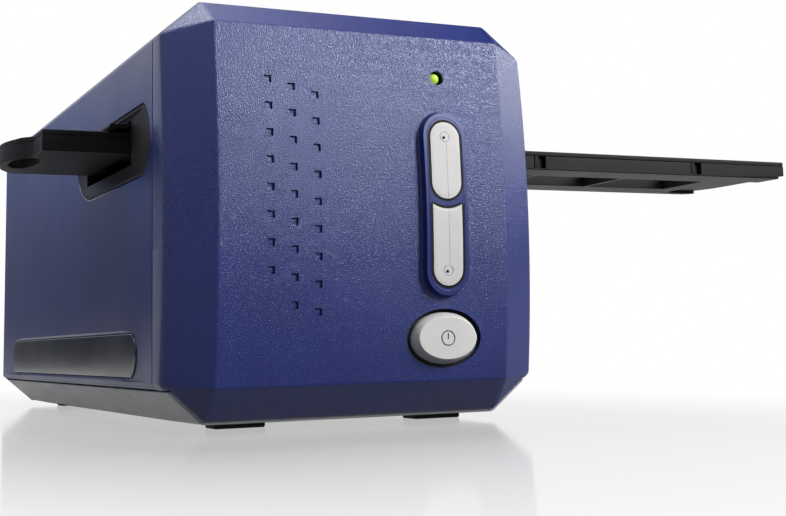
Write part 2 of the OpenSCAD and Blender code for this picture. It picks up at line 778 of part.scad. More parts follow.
module chassis() color([0.35, 0.36, 0.38]) difference() {
  union() {
    block([-side_out, chassis_front[0], plate_z[0]], [side_out, chassis_end, plate_z[1]]);
    for (y = [chassis_front, chassis_back])
      block([-side_out, y[0], plate_z[0]], [side_out, y[1], end_wall_top]);
    for (m = [0, 1]) mirror([m, 0, 0]) {
      block([side_in, guide_y[0], plate_z[0]], [side_out, guide_y[1], guide_low_z]);
      block([side_in, chassis_front[0], plate_z[0]], [side_out, chassis_back[1], 26]);
    }
    for (p = leg_spots) rod_z(leg_r, floor_z, plate_z[0] + eps, p.x, p.y);
  }
  for (x = [-rod_x, rod_x]) rod_y(rod_r, chassis_front[0] + 0.8, chassis_back[1] - 0.8, x, rod_z);
  rod_y(bearing_r, chassis_front[0] - 1, chassis_front[1] + 1, 0, screw_z);
  rod_y(thread_r + 1.2, chassis_back[0] - 1, chassis_back[1] + 1, 0, screw_z);
  for (x = [-motor_screw_x, motor_screw_x]) rod_y(1, chassis_back[0] - 1, chassis_back[1] + 1, x, screw_z);
  for (p = leg_spots) rod_z(screw_r, 0, 15, p.x, p.y);
  block([-20, line_y - 17.5, 0], [20, line_y + 28.5, plate_z[1] + 1]);
}

module film_guide_lower() color(black) difference() {
  union() {
    block([-side_out - 1, guide_y[0], guide_low_z], [side_out + 1, guide_y[1], channel_z[0]]);
    block([-guide_half, guide_y[0], guide_low_z], [guide_half, rail_y[0], channel_z[1]]);
    block([-guide_half, rail_y[1], guide_low_z], [guide_half, guide_y[1], channel_z[1]]);
  }
  block([-optics_window.x / 2, window_y[0], 0], [optics_window.x / 2, window_y[1], far]);
  for (p = guide_screw_spots) rod_z(1.1, channel_z[1] - 8, channel_z[1] + 1, p.x, p.y);
  block([-14, rail_y[0] - 2.2, channel_z[0] + 0.6], [14, rail_y[0] + 1, channel_z[1] + 1]);
}

module film_guide_upper() color(black) difference() {
  block([-guide_half, guide_y[0], channel_z[1]], [guide_half, guide_y[1], channel_z[1] + guide_cap_t]);
  block([-optics_window.x / 2, window_y[0], 0], [optics_window.x / 2, window_y[1], far]);
  for (p = guide_screw_spots) rod_z(1.3, 0, far, p.x, p.y);
}

module guide_screws() color(steel) for (p = guide_screw_spots)
  translate([p.x, p.y, channel_z[1] + guide_cap_t]) mirror([0, 0, 1]) screw(2.2, 1.05, 9);

// Bowed leaf that presses on the holder's front side
module detent_spring() color(steel) {
  leaf_t = 0.3;
  bow_r = 60;
  span = 13.6;
  tip = rail_y[0] - 0.05;
  along_z(channel_z[0] + 1.1, channel_z[1] - 1.1) intersection() {
    difference() {
      translate([0, tip - bow_r]) circle(r = bow_r, $fn = 360);
      translate([0, tip - bow_r]) circle(r = bow_r - leaf_t, $fn = 360);
    }
    translate([-span, tip - 5]) square([2 * span, 8]);
  }
}

module guide_rod() color(steel) rod_y(rod_r, chassis_front[0] + 0.8, chassis_back[1] - 0.8, -rod_x, rod_z);
module slide_rail() color(steel) rod_y(rod_r, chassis_front[0] + 0.8, chassis_back[1] - 0.8, rod_x, rod_z);

// ---- Scan head -------------------------------------------------------------------

head_w = 26;
head_y = [line_y - 20, line_y + 92];
head_z = [39, 72];
head_wall = 2;
arm_half = 20;
arm_z = [98, 104];
post_y = [line_y + 51, line_y + 57];
arm_foot_l = 8;
arm_foot_t = 2.5;
arm_screw_spots = [for (x = [-18, 18]) [x, post_y[1] + arm_foot_l / 2]];
arm_screw_l = 6;
lamp_half = 18;
bush_r = 4.5;
housing_r = 5;
bush_l = 10;
bush_y = [head_y[0] + 6, head_y[1] - 16];
lens_z = 55;
barrel_r = 9;
barrel_y = [line_y + 40, line_y + 66];
nut_y = line_y + 34;
nut_l = 12;
sensor_y = line_y + 82;
sensor_half = 19;
mirror = [32, 34, 2];
home_x = -17;

module optics_carriage() color(black) difference() {
  union() {
    block([-head_w, head_y[0], head_z[0]], [head_w, head_y[1], head_z[1]]);
    for (y = bush_y)
      block([-rod_x - housing_r, y, rod_z - 6.5], [-head_w + 3, y + bush_l, head_z[0] + 8]);
    block([head_w - 3, line_y + 30, rod_z - 6], [rod_x + housing_r, line_y + 42, head_z[0] + 8]);
    // flag of the home sensor
    block([home_x - 0.5, line_y + 84, 25], [home_x + 0.5, line_y + 88, head_z[0] + eps]);
  }
  // hollow of the head, open above the mirror and the lens
  difference() {
    block([-head_w + head_wall, head_y[0] + head_wall, head_z[0] + head_wall],
          [head_w - head_wall, head_y[1] - head_wall, head_z[1] + eps]);
    along_x(-17, 17) polygon([
      [line_y - 15, 0], [line_y + 13.6, 0], [line_y + 13.6, lens_z - 13.7], [line_y - 15, lens_z + 14.9]
    ]);
    block([-12, barrel_y[0] + 3, 0], [12, barrel_y[1] - 3, lens_z - 3]);
    // bridge under the foot of the lamp arm
    block([-head_w, post_y[0], lens_z + 12], [head_w, post_y[1] + arm_foot_l, far]);
    for (m = [-1, 1]) block([m * 23 - 2, sensor_y - 3, 0], [m * 23 + 2, sensor_y, 66]);
  }
  rod_y(barrel_r, barrel_y[0] - 1, barrel_y[1] + 1, 0, lens_z);
  for (y = bush_y) rod_y(bush_r, y - 1, y + bush_l + 1, -rod_x, rod_z);
  block([rod_x - rod_r - 0.4, line_y + 29, rod_z - rod_r - guide_gap],
        [far, line_y + 43, rod_z + rod_r + guide_gap]);
  block([-ribbon_w / 2 - 1, head_y[1] - head_wall - 1, 58], [ribbon_w / 2 + 1, head_y[1] + 1, head_z[1] + 1]);
  for (p = arm_screw_spots) rod_z(1, head_z[1] - arm_screw_l, head_z[1] + 1, p.x, p.y);
}

// Post and arm that carry the lamps over the film
module lamp_arm() color(black) difference() {
  union() {
    block([-head_w, post_y[0], head_z[1]], [head_w, post_y[1], arm_z[1]]);
    block([-arm_half, line_y - 12, arm_z[0]], [arm_half, post_y[1], arm_z[1]]);
    block([-head_w, post_y[1] - eps, head_z[1]], [head_w, post_y[1] + arm_foot_l, head_z[1] + arm_foot_t]);
  }
  block([-lamp_half, line_y - 10, arm_z[0] - 1], [lamp_half, line_y + 10, arm_z[0] + 2]);
  for (p = arm_screw_spots) rod_z(1.3, head_z[1] - 1, head_z[1] + arm_foot_t + 1, p.x, p.y);
}

module arm_screws() color(steel) for (p = arm_screw_spots)
  translate([p.x, p.y, head_z[1] + arm_foot_t]) mirror([0, 0, 1]) screw(2, 0.95, arm_screw_l);

module carriage_bushings() color([0.7, 0.55, 0.25]) for (y = bush_y) difference() {
  rod_y(bush_r, y, y + bush_l, -rod_x, rod_z);
  rod_y(rod_r + pin_gap, y - 1, y + bush_l + 1, -rod_x, rod_z);
}

// Row of lamps under the arm
module lamp_board() {
  color(board_green)
    block([-lamp_half + 0.5, line_y - 9, arm_z[0] + 0.4], [lamp_half - 0.5, line_y + 9, arm_z[0] + 2]);
  color([0.95, 0.95, 0.8]) for (i = [-4:4])
    translate([i * 3.8, line_y, 0]) along_z(arm_z[0] - 0.4, arm_z[0] + 0.4 + eps) square(2.4, center = true);
}

module lamp_diffuser() color([0.92, 0.93, 0.95]) difference() {
  block([-19, line_y - 8, arm_z[0] - 3], [19, line_y + 8, arm_z[0]]);
  block([-17.2, line_y - 3, arm_z[0] - 1.4], [17.2, line_y + 3, arm_z[0] + 1]);
}

// Mirror at 45 degrees below the film, on the wedge of the head
module fold_mirror() color([0.8, 0.85, 0.88]) translate([0, line_y, lens_z]) rotate([-45, 0, 0])
  translate([-mirror.x / 2, -mirror.y / 2, 0]) cube(mirror);

module lens_barrel() color(black) difference() {
  union() {
    rod_y(barrel_r - 0.02, barrel_y[0], barrel_y[1], 0, lens_z);
    rod_y(barrel_r + 1.4, barrel_y[0] - 2.2, barrel_y[0], 0, lens_z);
  }
  rod_y(5.5, barrel_y[0] - 3, barrel_y[0] + 2, 0, lens_z);
  rod_y(4.5, barrel_y[1] - 2, barrel_y[1] + 1, 0, lens_z);
}

module sensor_board() {
  half = head_w - head_wall - 0.4;
  color(board_green)
    block([-half, sensor_y, head_z[0] + head_wall + 0.5], [half, sensor_y + board_t, head_z[1] - 1]);
  color(black) block([-sensor_half, sensor_y - 3, lens_z - 4], [sensor_half, sensor_y + eps, lens_z + 4]);
}

module drive_nut() color([0.85, 0.83, 0.75]) difference() {
  block([-7, nut_y, screw_z - 6.5], [7, nut_y + nut_l, head_z[0]]);
  rod_y(thread_r + 0.25, nut_y - 1, nut_y + nut_l + 1, 0, screw_z);
}

thread_offset = 0.45;
journal_r = 2;
thread_y = [chassis_front[1] + 1, chassis_back[0] - 1];

// Single-start thread: an off-centre round turned about the axis
module lead_screw() color(steel) {
  length = thread_y[1] - thread_y[0];
  turns = length / thread_lead;
  translate([0, thread_y[1], screw_z]) rotate([90, 0, 0])
    linear_extrude(length, twist = 360 * turns, slices = round(turns * 8), $fn = 8)
      translate([thread_offset, 0]) circle(r = thread_r - thread_offset);
  rod_y(journal_r, chassis_front[0], thread_y[0] + eps, 0, screw_z);
  rod_y(journal_r, thread_y[1] - eps, chassis_back[1] + 9, 0, screw_z);
}

module screw_bearing() color([0.7, 0.55, 0.25]) difference() {
  rod_y(bearing_r, chassis_front[0], chassis_front[1], 0, screw_z);
  rod_y(journal_r + pin_gap, chassis_front[0] - 1, chassis_front[1] + 1, 0, screw_z);
}

bracket_t = 1.5;
bracket_y = chassis_back[1];
motor_y = bracket_y + bracket_t;
motor_screw_x = 13;

module motor_bracket() color(steel) difference() {
  block([-17, bracket_y, screw_z - 10], [17, motor_y, screw_z + 10]);
  rod_y(journal_r + 1, bracket_y - 1, motor_y + 1, 0, screw_z);
  for (x = [-motor_screw_x, motor_screw_x]) rod_y(1.3, bracket_y - 1, motor_y + 1, x, screw_z);
}

module stepper_motor() color([0.55, 0.56, 0.58]) difference() {
  union() {
    rod_y(motor_r, motor_y, motor_y + motor_l, 0, screw_z);
    block([-6, motor_y + 3, screw_z - 9.5], [6, motor_y + motor_l - 3, screw_z]);
  }
  rod_y(journal_r + pin_gap, motor_y - 1, motor_y + 10, 0, screw_z);
}

module motor_screws() color(steel) for (x = [-motor_screw_x, motor_screw_x])
  translate([x, motor_y, screw_z]) rotate([90, 0, 0]) screw(2.2, 0.95, 3.6);

// Forked light gate that the head's flag enters when parked
module home_sensor() color(black) difference() {
  block([home_x - 5, line_y + 81, plate_z[1]], [home_x + 5, line_y + 91, 30]);
  block([home_x - 1.5, line_y + 80, 23], [home_x + 1.5, line_y + 92, 31]);
}

// ---- Electronics -------------------------------------------------------------------

main_board_z = 7;
main_board_top = main_board_z + board_t;
main_y = [rear_y - 63, rear_y - 8];
main_half = 28;
board_post_x = main_half - 3;
board_posts = [for (x = [-board_post_x, board_post_x], y = [main_y[0] + 5, main_y[1] - 28]) [x, y]];

module main_board() {
  color(board_green) difference() {
    block([-main_half, main_y[0], main_board_z], [main_half, main_y[1], main_board_top]);
    for (p = board_posts) rod_z(1.2, 0, 20, p.x, p.y);
  }
  color(black) {
    block([-24, main_y[0] + 12, main_board_top], [-11, main_y[0] + 25, main_board_top + 1.4]);
    block([12, main_y[0] + 11, main_board_top], [21, main_y[0] + 20, main_board_top + 1.2]);
  }
  color([0.9, 0.9, 0.85]) difference() {
    translate([0, ribbon_end, 0])
      along_z(main_board_top, main_board_top + 4) square([ribbon_w + 4, 6], center = true);
    translate([0, ribbon_end, 0])
      along_z(main_board_top + 1, main_board_top + 5) square([ribbon_w + 1, 0.6], center = true);
  }
  color([0.2, 0.2, 0.25]) for (x = [-23, -17])
    rod_z(2.2, main_board_top, main_board_top + 7, x, main_y[1] - 16);
}

module board_screws() color(steel) {
  for (p = board_posts) translate([p.x, p.y, main_board_top]) mirror([0, 0, 1]) screw(2, 0.85, 4);
  for (p = post_spots) translate([p.x, board_y + board_t, p.y]) rotate([90, 0, 0]) screw(2, 0.95, 6);
}

module usb_socket() color(silver) translate([usb_at.x, 0, main_board_top]) difference() {
  block([-usb_at.y / 2, rear_y - 16.4, 0], [usb_at.y / 2, rear_y - 0.4, usb_at.z]);
  difference() {
    block([-4.2, rear_y - 9, 1.6], [4.2, rear_y, usb_at.z - 1.6]);
    block([-2.8, rear_y - 10, 3.9], [2.8, rear_y - 1.4, 7.1]);
  }
}

module dc_jack() color(black) translate([dc_at.x, 0, main_board_top]) {
  difference() {
    block([-dc_at.y / 2, rear_y - 14.4, 0], [dc_at.y / 2, rear_y - 0.4, dc_at.z]);
    rod_y(3.2, rear_y - 10, rear_y, 0, dc_at.z / 2);
  }
  color(steel) rod_y(1, rear_y - 10 - eps, rear_y - 1.6, 0, dc_at.z / 2);
}

ribbon_end = max(chassis_end + 12, main_y[0] + 6);
ribbon_t = 0.3;
ribbon_w = 14;
ribbon_start = [sensor_y + board_t + 0.1, 64];
// Bends of the flat cable in Y and Z, from the sensor board to its socket
ribbon_bends = [
  ribbon_start, ribbon_start + [22, 6], [ribbon_end, 76], [ribbon_end, 40], [ribbon_end, main_board_top + 1.2]
];

function bezier(p, t) = len(p) == 1
  ? p[0]
  : bezier([for (i = [0:len(p) - 2]) p[i] * (1 - t) + p[i + 1] * t], t);
function ribbon_side(s) = [
  for (i = [0:24])
    let (t = i / 24, a = bezier(ribbon_bends, max(t - 0.01, 0)), b = bezier(ribbon_bends, min(t + 0.01, 1)))
    let (d = (b - a) / norm(b - a))
      bezier(ribbon_bends, t) + s * ribbon_t / 2 * [-d.y, d.x]
];

module sensor_ribbon() color([0.85, 0.86, 0.88]) along_x(-ribbon_w / 2, ribbon_w / 2)
  polygon(concat(ribbon_side(1), [for (p = [24:-1:0]) ribbon_side(-1)[p]]));

// ---- Film holder --------------------------------------------------------------------

lid_z = holder_z + 4.9;
holder_top = holder_z + holder_t;
holder_rear = holder_front + holder_w;
tab_r = 34;
tab_reach = 6.5;
tab_half = 20;
finger_hole = [9, 25];
finger_at = [holder_left + 0.2, film_mid + 2];
end_corner = [8, 18];
grip_l = 19;
grip_y = [holder_front + 12, holder_rear - 4];
grip_r = 5;
grip_depth = 1.2;
grip_lip = 2.5;
hook_spots = [for (i = [-1:2]) 20.5 + i * 67.5];
hook_w = 1.8;
notch_w = 4.6;
notch_depth = 1.8;
hinge_spots = [-30, 144];
hinge_pin_r = 0.7;
hinge_at = [holder_rear - 2, lid_z - 1.3];
first_frame = -(frame_at_optics - 1) * frame_pitch;
fit = 0.2;

// Plan of the holder: a long plate with a rounded tab at one end and a rounded corner at the other
module holder_plan() difference() {
  union() {
    translate([holder_left, holder_front]) square([holder_right - holder_left - end_corner.x, holder_w]);
    translate([holder_right - end_corner.x - eps, holder_front])
      square([end_corner.x + eps, holder_w - end_corner.y]);
    translate([holder_right - end_corner.x, holder_rear - end_corner.y]) polygon(ellipse(2 * end_corner));
    intersection() {
      translate([holder_left - tab_reach + tab_r, holder_rear - tab_half]) circle(r = tab_r, $fn = 96);
      translate([holder_left - 2 * tab_reach, holder_rear - 2 * tab_half])
        square([3 * tab_reach, 2 * tab_half]);
    }
  }
  translate(finger_at) polygon(ellipse(finger_hole));
}

// Shallow recess below the holder's right end, to lift it by
module grip_recess() {
  along_z(holder_z - 1, holder_z + grip_depth) hull() {
    for (y = [grip_y[0] + grip_r, grip_y[1] - grip_r])
      translate([holder_right - grip_l + grip_r, y]) circle(r = grip_r);
    translate([holder_right, grip_y[0]]) square([5, grip_y[1] - grip_y[0]]);
  }
  block([holder_right - grip_lip, holder_front - 1, holder_z - 1],
        [holder_right + 5, holder_rear + 1, holder_z + grip_depth]);
}

module frame_windows() for (i = [0:frame_count - 1])
  translate([first_frame + i * frame_pitch, film_mid]) square(frame_window, center = true);

module holder_base() color(black) difference() {
  along_z(holder_z, lid_z) holder_plan();
  along_z(holder_z - 1, lid_z + 1) frame_windows();
  film_half = film_w / 2 + fit;
  film_low = first_frame - frame_pitch / 2 - 4;
  film_high = first_frame + (frame_count - 0.5) * frame_pitch + 4;
  block([film_low, film_mid - film_half, lid_z - 0.5], [film_high, film_mid + film_half, lid_z + 1]);
  grip_recess();
  for (x = hook_spots)
    block([x - notch_w / 2, holder_front - 1, holder_z + 0.6],
          [x + notch_w / 2, holder_front + notch_depth, lid_z + 1]);
  for (x = hinge_spots) {
    block([x - 2 - fit, hinge_at.x - 1.8, hinge_at.y - 1.7], [x + 2 + fit, holder_rear + 1, lid_z + 1]);
    rod_x(hinge_pin_r, x - 6, x + 6, hinge_at.x, hinge_at.y);
  }
}

module holder_lid() color(black) {
  difference() {
    along_z(lid_z, holder_top) holder_plan();
    along_z(lid_z - 1, holder_top + 1) frame_windows();
  }
  for (x = hook_spots)
    block([x - notch_w / 2 + fit, holder_front + fit, holder_z + 1.2],
          [x - notch_w / 2 + fit + hook_w, holder_front + 1.2, lid_z + eps]);
  for (x = hinge_spots) difference() {
    block([x - 2, hinge_at.x - 1.5, hinge_at.y - 1.4], [x + 2, holder_rear - fit, lid_z + eps]);
    rod_x(hinge_pin_r + pin_gap, x - 6, x + 6, hinge_at.x, hinge_at.y);
  }
}

module holder_hinge_pins() color(steel) for (x = hinge_spots)
  rod_x(hinge_pin_r, x - 6, x + 6, hinge_at.x, hinge_at.y);

front_panel();
key_surround();
upper_scan_key();
lower_scan_key();
upper_key_spring();
lower_key_spring();
power_button();
power_button_ring();
power_button_spring();
status_lens();
button_board();
button_switches();
top_cover();
base_shell();
rear_panel();
left_slot_frame();
right_slot_frame();
left_dust_door();
right_dust_door();
left_side_pad();
right_side_pad();
rubber_feet();
case_screws();
chassis_screws();
chassis();
film_guide_lower();
film_guide_upper();
guide_screws();
detent_spring();
guide_rod();
slide_rail();
optics_carriage();
carriage_bushings();
lamp_arm();
arm_screws();
lamp_board();
lamp_diffuser();
fold_mirror();
lens_barrel();
sensor_board();
drive_nut();
lead_screw();
screw_bearing();
stepper_motor();
motor_bracket();
motor_screws();
home_sensor();
main_board();
board_screws();
usb_socket();
dc_jack();
sensor_ribbon();
holder_base();
holder_lid();
holder_hinge_pins();
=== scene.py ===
"""Film negative scanner: the looks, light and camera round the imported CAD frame."""
import json
import math

import bmesh
import bpy
from mathutils import Matrix, Vector

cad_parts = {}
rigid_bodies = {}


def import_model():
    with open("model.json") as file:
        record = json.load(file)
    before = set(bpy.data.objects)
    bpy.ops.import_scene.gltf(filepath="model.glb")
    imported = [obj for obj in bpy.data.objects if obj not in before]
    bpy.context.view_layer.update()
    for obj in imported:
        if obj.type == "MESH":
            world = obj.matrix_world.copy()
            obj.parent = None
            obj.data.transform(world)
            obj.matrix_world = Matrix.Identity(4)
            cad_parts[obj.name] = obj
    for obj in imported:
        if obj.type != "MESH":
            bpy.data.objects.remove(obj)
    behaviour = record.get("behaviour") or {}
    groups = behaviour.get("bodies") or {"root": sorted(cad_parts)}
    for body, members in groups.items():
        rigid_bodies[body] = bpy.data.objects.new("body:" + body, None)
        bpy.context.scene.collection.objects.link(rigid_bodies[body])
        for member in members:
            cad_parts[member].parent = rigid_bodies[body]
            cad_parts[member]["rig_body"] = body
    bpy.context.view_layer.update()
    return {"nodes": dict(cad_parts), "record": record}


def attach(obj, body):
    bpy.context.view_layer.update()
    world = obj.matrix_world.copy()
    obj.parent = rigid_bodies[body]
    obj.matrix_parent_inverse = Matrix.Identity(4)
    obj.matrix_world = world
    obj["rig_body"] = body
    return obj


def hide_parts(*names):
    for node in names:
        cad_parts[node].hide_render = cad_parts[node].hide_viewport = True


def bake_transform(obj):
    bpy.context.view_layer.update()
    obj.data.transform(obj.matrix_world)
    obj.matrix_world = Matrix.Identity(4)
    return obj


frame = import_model()
MM = 0.001


# ---- camera --------------------------------------------------------------------------

IMAGE_WIDTH = 786
CAMERA_AT = Vector((-156.39, -479.26, 22.82)) * MM
CAMERA_YAW, CAMERA_PITCH, CAMERA_ROLL = 0.4443, 0.1441, -0.0243     # radians
LENS, SENSOR = 61.03, 36.0                                          # mm
SHIFT_Y = -108 / IMAGE_WIDTH
CLIP_NEAR, CLIP_FAR = 0.01, 50


def make_camera():
    forward = Vector((math.sin(CAMERA_YAW) * math.cos(CAMERA_PITCH),
                      math.cos(CAMERA_YAW) * math.cos(CAMERA_PITCH), math.sin(CAMERA_PITCH)))
    right = Vector((math.cos(CAMERA_YAW), -math.sin(CAMERA_YAW), 0))
    up = right.cross(forward)
    c, s = math.cos(CAMERA_ROLL), math.sin(CAMERA_ROLL)
    axes = (right * c + up * s, up * c - right * s, -forward)
    data = bpy.data.cameras.new("camera")
    data.lens, data.sensor_width, data.shift_y = LENS, SENSOR, SHIFT_Y
    data.clip_start, data.clip_end = CLIP_NEAR, CLIP_FAR
    camera = bpy.data.objects.new("camera", data)
    camera.matrix_world = Matrix.Translation(CAMERA_AT) @ Matrix(axes).transposed().to_4x4()
    bpy.context.scene.collection.objects.link(camera)
    bpy.context.scene.camera = camera


# ---- shader helpers ------------------------------------------------------------------


class Shader:
    """A material's nodes, written in as few words as they allow."""

    def __init__(self, name):
        self.material = bpy.data.materials.new(name)
        self.material.use_nodes = True
        self.nodes = self.material.node_tree.nodes
        self.links = self.material.node_tree.links
        self.nodes.clear()
        self.out = self.nodes.new("ShaderNodeOutputMaterial")
        self.bsdf = self.nodes.new("ShaderNodeBsdfPrincipled")
        self.links.new(self.bsdf.outputs[0], self.out.inputs[0])
        self.place = self.node("TexCoord").outputs["Object"]

    def node(self, kind, **settings):
        made = self.nodes.new("ShaderNode" + kind)
        for key, value in settings.items():
            setattr(made, key, value)
        return made

    def put(self, socket, value):
        """Links a socket to another one, or gives it a plain value."""
        if isinstance(value, bpy.types.NodeSocket):
            self.links.new(value, socket)
        else:
            socket.default_value = value

    def set(self, **values):
        """Fills the main shader's inputs, whose names have _ for each space here."""
        for key, value in values.items():
            self.put(self.bsdf.inputs[key.replace("_", " ")], value)

    def math(self, operation, a, b):
        made = self.node("Math", operation=operation)
        self.put(made.inputs[0], a)
        self.put(made.inputs[1], b)
        return made.outputs[0]

    def vector_math(self, operation, *values):
        made = self.node("VectorMath", operation=operation)
        for socket, value in zip(made.inputs, values):
            self.put(socket, value)
        return made.outputs["Value" if operation == "LENGTH" else "Vector"]

    def noise(self, scale, detail=2.0, rough=0.5):
        made = self.node("TexNoise")
        self.put(made.inputs["Vector"], self.place)
        made.inputs["Scale"].default_value = scale
        made.inputs["Detail"].default_value = detail
        made.inputs["Roughness"].default_value = rough
        return made.outputs[0]

    def cells(self, scale, feature="F1"):
        made = self.node("TexVoronoi", feature=feature)
        self.put(made.inputs["Vector"], self.place)
        made.inputs["Scale"].default_value = scale
        return made.outputs["Distance"]

    def ramp(self, value, low, high, out_low=0.0, out_high=1.0):
        made = self.node("MapRange")
        for socket, v in zip(made.inputs, (value, low, high, out_low, out_high)):
            self.put(socket, v)
        return made.outputs[0]

    def mix(self, share, a, b):
        made = self.node("Mix", data_type="RGBA")
        self.put(made.inputs[0], share)
        made.inputs[6].default_value = (*a, 1)
        made.inputs[7].default_value = (*b, 1)
        return made.outputs[2]

    def bump(self, height, distance, after=None):
        made = self.node("Bump")
        self.put(made.inputs["Height"], height)
        made.inputs["Distance"].default_value = distance
        if after is not None:
            self.links.new(after, made.inputs["Normal"])
        return made.outputs[0]


def srgb(r, g, b):
    """A colour as seen on a screen, 0 to 255, in the linear numbers that shaders take."""
    shares = (r / 255, g / 255, b / 255)
    return tuple(c / 12.92 if c <= 0.04045 else ((c + 0.055) / 1.055) ** 2.4 for c in shares)


# ---- materials -----------------------------------------------------------------------

# How fine each pattern is, in waves or cells to the metre.
PLASTIC_DRIFT, PLASTIC_SMEARS, LEATHER_CREASES = 38.0, 22.0, 1900.0
METAL_DRIFT, METAL_SMEARS, METAL_FLAKES = 60.0, 180.0, 5200.0
BOARD_TRACKS, BOARD_SMEARS = 420.0, 90.0
CLEAR_DRIFT, CLEAR_SMEARS = 300.0, 500.0
# The part of a noise's range that is stretched over the whole change.
DRIFT_RANGE, SMEAR_RANGE, EVEN_RANGE = (0.35, 0.7), (0.3, 0.75), (0.3, 0.7)
# How far the roughness strays from the one given: hardly below it, as more gloss left blotches on the blue.
PLASTIC_GLOSSIER, PLASTIC_DULLER = 0.02, 0.08
METAL_STRAY, CLEAR_STRAY = 0.06, 0.05
BOARD_GLOSS, BOARD_TRACK_HEIGHT = (0.25, 0.4), 0.00004
CREASE_WIDTH = 0.45
CLEAR_SHADE, CLEAR_GLOW = 0.9, 0.3
HIGHLIGHT_TINT = (0.78, 0.84, 1.0, 1.0)
BLUE, BLUE_OTHER = srgb(16, 30, 95), srgb(14, 27, 88)


def moulded(name, colour, other, rough, grain, depth, level=0.5, leather=0.0, tint=None):
    """Moulded plastic: spark-eroded grain, a little colour drift, uneven gloss."""
    s = Shader(name)
    s.set(Base_Color=s.mix(s.ramp(s.noise(PLASTIC_DRIFT, 3.0), *DRIFT_RANGE), colour, other))
    smears = s.noise(PLASTIC_SMEARS, 5.0, 0.6)
    s.set(Roughness=s.ramp(smears, *SMEAR_RANGE, rough - PLASTIC_GLOSSIER, rough + PLASTIC_DULLER))
    s.set(Specular_IOR_Level=level)
    if tint:
        s.set(Specular_Tint=tint)
    surface = s.bump(s.noise(grain), depth)
    if leather:
        creases = s.cells(LEATHER_CREASES, "DISTANCE_TO_EDGE")
        surface = s.bump(s.ramp(creases, 0.0, CREASE_WIDTH), leather, after=surface)
    s.set(Normal=surface)
    return s.material


def metallic(name, colour, other, rough, metal, flake=0.0, level=0.5):
    """Metal, or paint with a fine flake in it."""
    s = Shader(name)
    s.set(Base_Color=s.mix(s.ramp(s.noise(METAL_DRIFT, 4.0), *DRIFT_RANGE), colour, other))
    smears = s.noise(METAL_SMEARS, 4.0)
    s.set(Roughness=s.ramp(smears, *EVEN_RANGE, rough - METAL_STRAY, rough + METAL_STRAY))
    s.set(Specular_IOR_Level=level, Metallic=metal)
    if flake:
        s.set(Normal=s.bump(s.cells(METAL_FLAKES), flake))
    return s.material


def circuit(name):
    """A circuit board with paler, raised tracks."""
    s = Shader(name)
    tracks = s.cells(BOARD_TRACKS, "DISTANCE_TO_EDGE")
    s.set(Base_Color=s.mix(s.ramp(tracks, 0.04, 0.07), srgb(38, 118, 74), srgb(12, 66, 38)))
    s.set(Roughness=s.ramp(s.noise(BOARD_SMEARS), *EVEN_RANGE, *BOARD_GLOSS))
    s.set(Normal=s.bump(s.ramp(tracks, 0.03, 0.08, 1, 0), BOARD_TRACK_HEIGHT))
    return s.material


def clear(name, colour, rough, transmission):
    """Clear plastic that is lit from within."""
    s = Shader(name)
    shade = tuple(c * CLEAR_SHADE for c in colour)
    s.set(Base_Color=s.mix(s.ramp(s.noise(CLEAR_DRIFT), *EVEN_RANGE), colour, shade))
    s.set(Roughness=s.ramp(s.noise(CLEAR_SMEARS), *EVEN_RANGE, rough, rough + CLEAR_STRAY))
    s.set(Transmission_Weight=transmission, Emission_Color=(*colour, 1), Emission_Strength=CLEAR_GLOW)
    return s.material


# moulded: the colour and the one it drifts to, roughness, grains to the metre, their depth in metres,
# specular level, depth of the leather creases, tint of the gloss.
# metallic: the two colours, roughness, share of metal, depth of the flake in metres, specular level.
# clear: colour, roughness, share of light let through.
FINISHES = {
    "casing_blue": (moulded, BLUE, BLUE_OTHER, 0.31, 1200.0, 0.000004, 0.5, 0.0, HIGHLIGHT_TINT),
    "front_blue": (moulded, BLUE, BLUE_OTHER, 0.31, 2600.0, 0.000008, 0.55, 0.00006, HIGHLIGHT_TINT),
    "casing_silver": (metallic, srgb(158, 160, 164), srgb(149, 151, 155), 0.4, 0.15, 0.00001),
    "key_silver": (metallic, srgb(200, 199, 197), srgb(192, 191, 189), 0.42, 0.0, 0.00001, 0.2),
    "black_plastic": (moulded, srgb(17, 17, 18), srgb(13, 13, 14), 0.5, 1800.0, 0.00002, 0.14),
    "gloss_black": (moulded, srgb(24, 24, 26), srgb(20, 20, 22), 0.18, 900.0, 0.000004),
    "foot_rubber": (moulded, srgb(26, 26, 26), srgb(20, 20, 20), 0.75, 1500.0, 0.00004, 0.3),
    "steel": (metallic, srgb(205, 206, 210), srgb(190, 191, 196), 0.2, 1.0, 0.00001),
    "chassis_metal": (metallic, srgb(150, 152, 156), srgb(135, 137, 142), 0.5, 0.9, 0.00003),
    "bearing_bronze": (metallic, srgb(190, 150, 92), srgb(168, 128, 74), 0.4, 1.0, 0.00002),
    "nut_plastic": (moulded, srgb(226, 220, 200), srgb(216, 208, 186), 0.4, 1500.0, 0.00002),
    "board_green": (circuit,),
    "lens_green": (clear, srgb(196, 232, 84), 0.1, 0.25),
    "diffuser_white": (moulded, srgb(238, 239, 242), srgb(230, 231, 235), 0.5, 900.0, 0.00002),
    "mirror_glass": (metallic, srgb(225, 230, 235), srgb(220, 225, 230), 0.08, 1.0),
    "lens_black": (moulded, srgb(22, 22, 24), srgb(18, 18, 20), 0.35, 2500.0, 0.00001),
    "ribbon_white": (moulded, srgb(222, 225, 230), srgb(208, 212, 220), 0.4, 700.0, 0.00002),
}
MATERIALS = {name: make(name, *values) for name, (make, *values) in FINISHES.items()}
SLOT_OF = {part["node"]: part["material_slot"] for part in frame["record"]["subparts"]}


def dress(piece, slot):
    piece.data.materials.clear()
    piece.data.materials.append(MATERIALS[slot])


# ---- the part's sizes, in mm ---------------------------------------------------------

